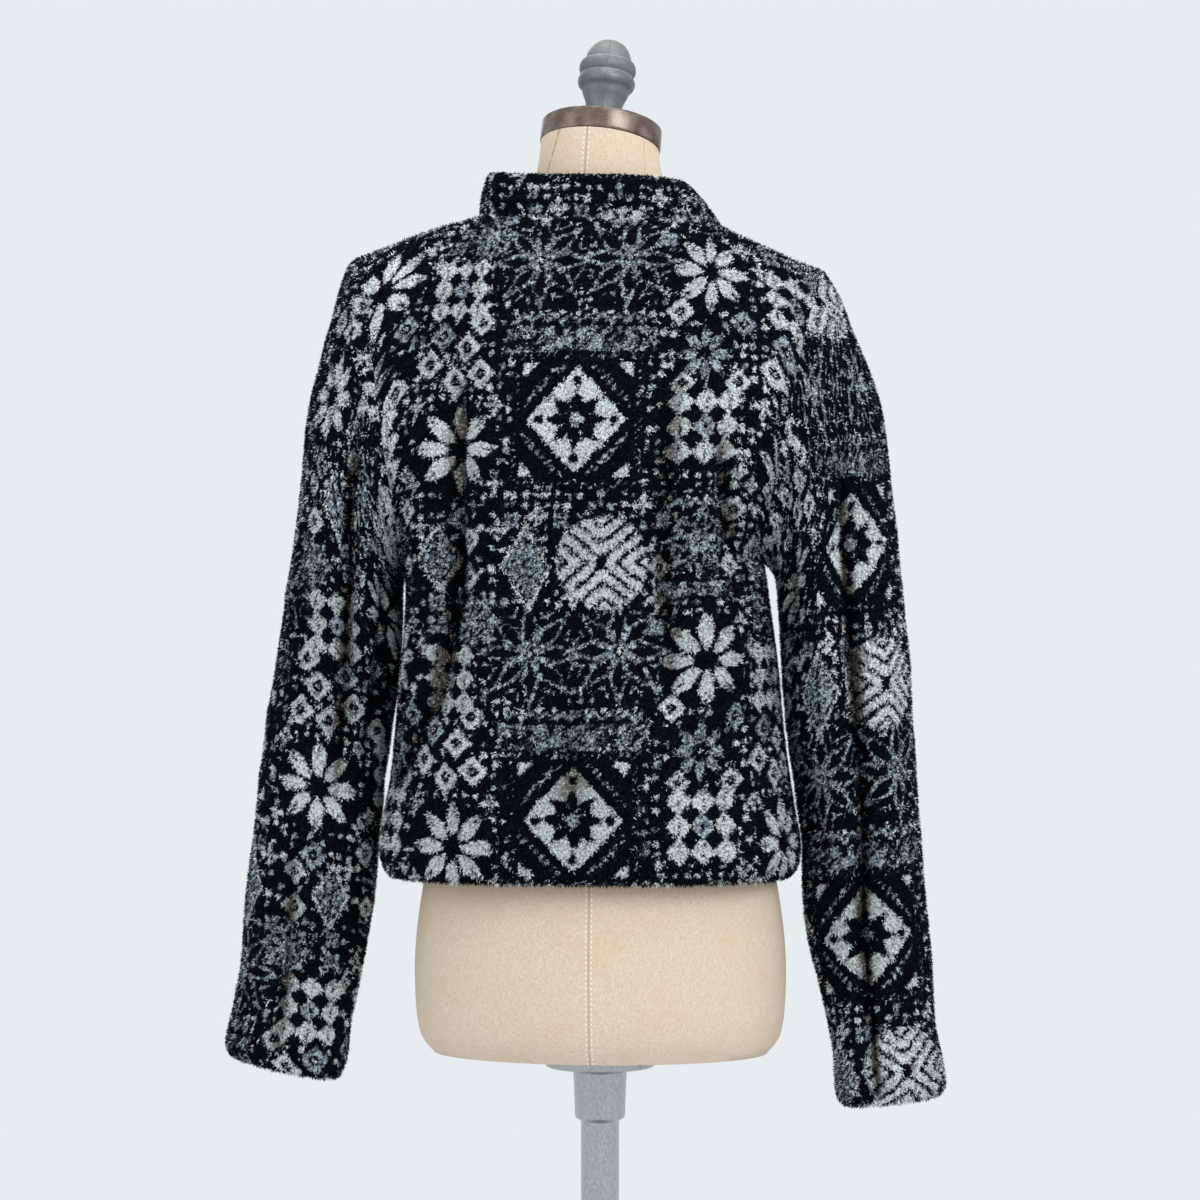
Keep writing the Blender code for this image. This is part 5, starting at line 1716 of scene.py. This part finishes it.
def thread_material():
    """Black sewing thread."""
    material, tree = new_material("sewing_thread", Sheen_Weight=0.2)
    twist = speckle(tree, 2600.0)
    tone = mixed(tree, twist, (0.012, 0.012, 0.013), (0.075, 0.075, 0.08))
    return finished(material, tone, rough_from(tree, twist, 0.6, 0.8))


def hole_material():
    """Painted shadow of a button's holes: near-black, on the plugs that stand in them."""
    material, tree = new_material("button_hole", Specular_IOR_Level=0.1)
    shade = speckle(tree, 900.0)
    tone = mixed(tree, shade, (0.001, 0.001, 0.001), (0.006, 0.006, 0.006))
    return finished(material, tone, rough_from(tree, shade, 0.85, 1.0))


def dress():
    """The cardigan's cloth, each panel in place of its solid."""
    material = fleece_material()
    lap = FRONT_LAP_SHARE
    made = {
        "back": panel("back_fleece", 1, -1.0, 1.0, material),
        "front_left": panel("front_left_fleece", -1, -lap, 1.0, material, tuck=True),
        "front_right": panel("front_right_fleece", -1, -1.0, lap, material),
        "sleeve_left": sleeve("sleeve_left_fleece", 1, material),
        "sleeve_right": sleeve("sleeve_right_fleece", -1, material),
        "collar": collar(material),
    }
    tufts = yarn_material()
    for seed, (node, (piece, laid)) in enumerate(made.items(), start=1):
        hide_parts(node)
        loose = pile(node + "_pile", laid, seed, tufts)


# Studio: the floor's radius and two tones, and each lamp's name, place, size and power
FLOOR_RADIUS = 2.1
FLOOR_SIDES = 96
FLOOR_TONES = ((0.56, 0.58, 0.59), (0.60, 0.62, 0.63))
SURROUNDINGS = (0.80, 0.845, 0.865, 1.0)
LAMPS = (
    ("key", (-2.2, 2.6, 2.9), 1.9, 62.0),
    ("fill", (2.6, 2.2, 2.0), 2.2, 16.0),
    ("front", (0.6, -3.0, 2.6), 2.4, 46.0),
    ("top", (0.0, 0.2, 3.6), 2.0, 26.0),
)
LAMPS_AIM = (0.0, 0.0, 1.15)


def aimed(name, data, place, target):
    """Lamp or camera that looks from a place to a target."""
    made = bpy.data.objects.new(name, data)
    made.location = place
    made.rotation_euler = (Vector(target) - Vector(place)).to_track_quat("-Z", "Y").to_euler()
    bpy.context.scene.collection.objects.link(made)
    return made


def studio():
    """Pale floor, soft lights, pale surroundings and the camera."""
    scene = bpy.context.scene
    scene.view_settings.view_transform = "Standard"
    world = bpy.data.worlds.new("studio")
    world.use_nodes = True
    background = world.node_tree.nodes["Background"]
    background.inputs["Color"].default_value = SURROUNDINGS
    background.inputs["Strength"].default_value = 1.0
    scene.world = world
    angles = turns(FLOOR_SIDES)
    rim = stack(FLOOR_RADIUS * np.cos(angles), FLOOR_RADIUS * np.sin(angles), 0.0)
    mesh = bpy.data.meshes.new("floor")
    mesh.from_pydata(rim.tolist(), [], [list(range(FLOOR_SIDES))])
    floor = bpy.data.objects.new("floor", mesh)
    scene.collection.objects.link(floor)
    material, tree = new_material("floor_paper")
    mesh.materials.append(finished(material, mixed(tree, speckle(tree, 3.0), *FLOOR_TONES), 0.9))
    for name, place, size, power in LAMPS:
        light = bpy.data.lights.new(name, "AREA")
        light.size = size
        light.energy = power
        aimed(name, light, place, LAMPS_AIM)
    azimuth = math.radians(CAMERA_AZIMUTH)
    data = bpy.data.cameras.new("camera")
    data.sensor_width = SENSOR
    data.lens = SENSOR / 2 * CAMERA_REACH / HALF_FRAME
    x, y = CAMERA_REACH * math.sin(azimuth), -CAMERA_REACH * math.cos(azimuth)
    scene.camera = aimed("camera", data, (x, y, CAMERA_HEIGHT), (0.0, 0.0, CAMERA_HEIGHT))


studio()
dress()
torso(canvas_material())
stand()
buttons()
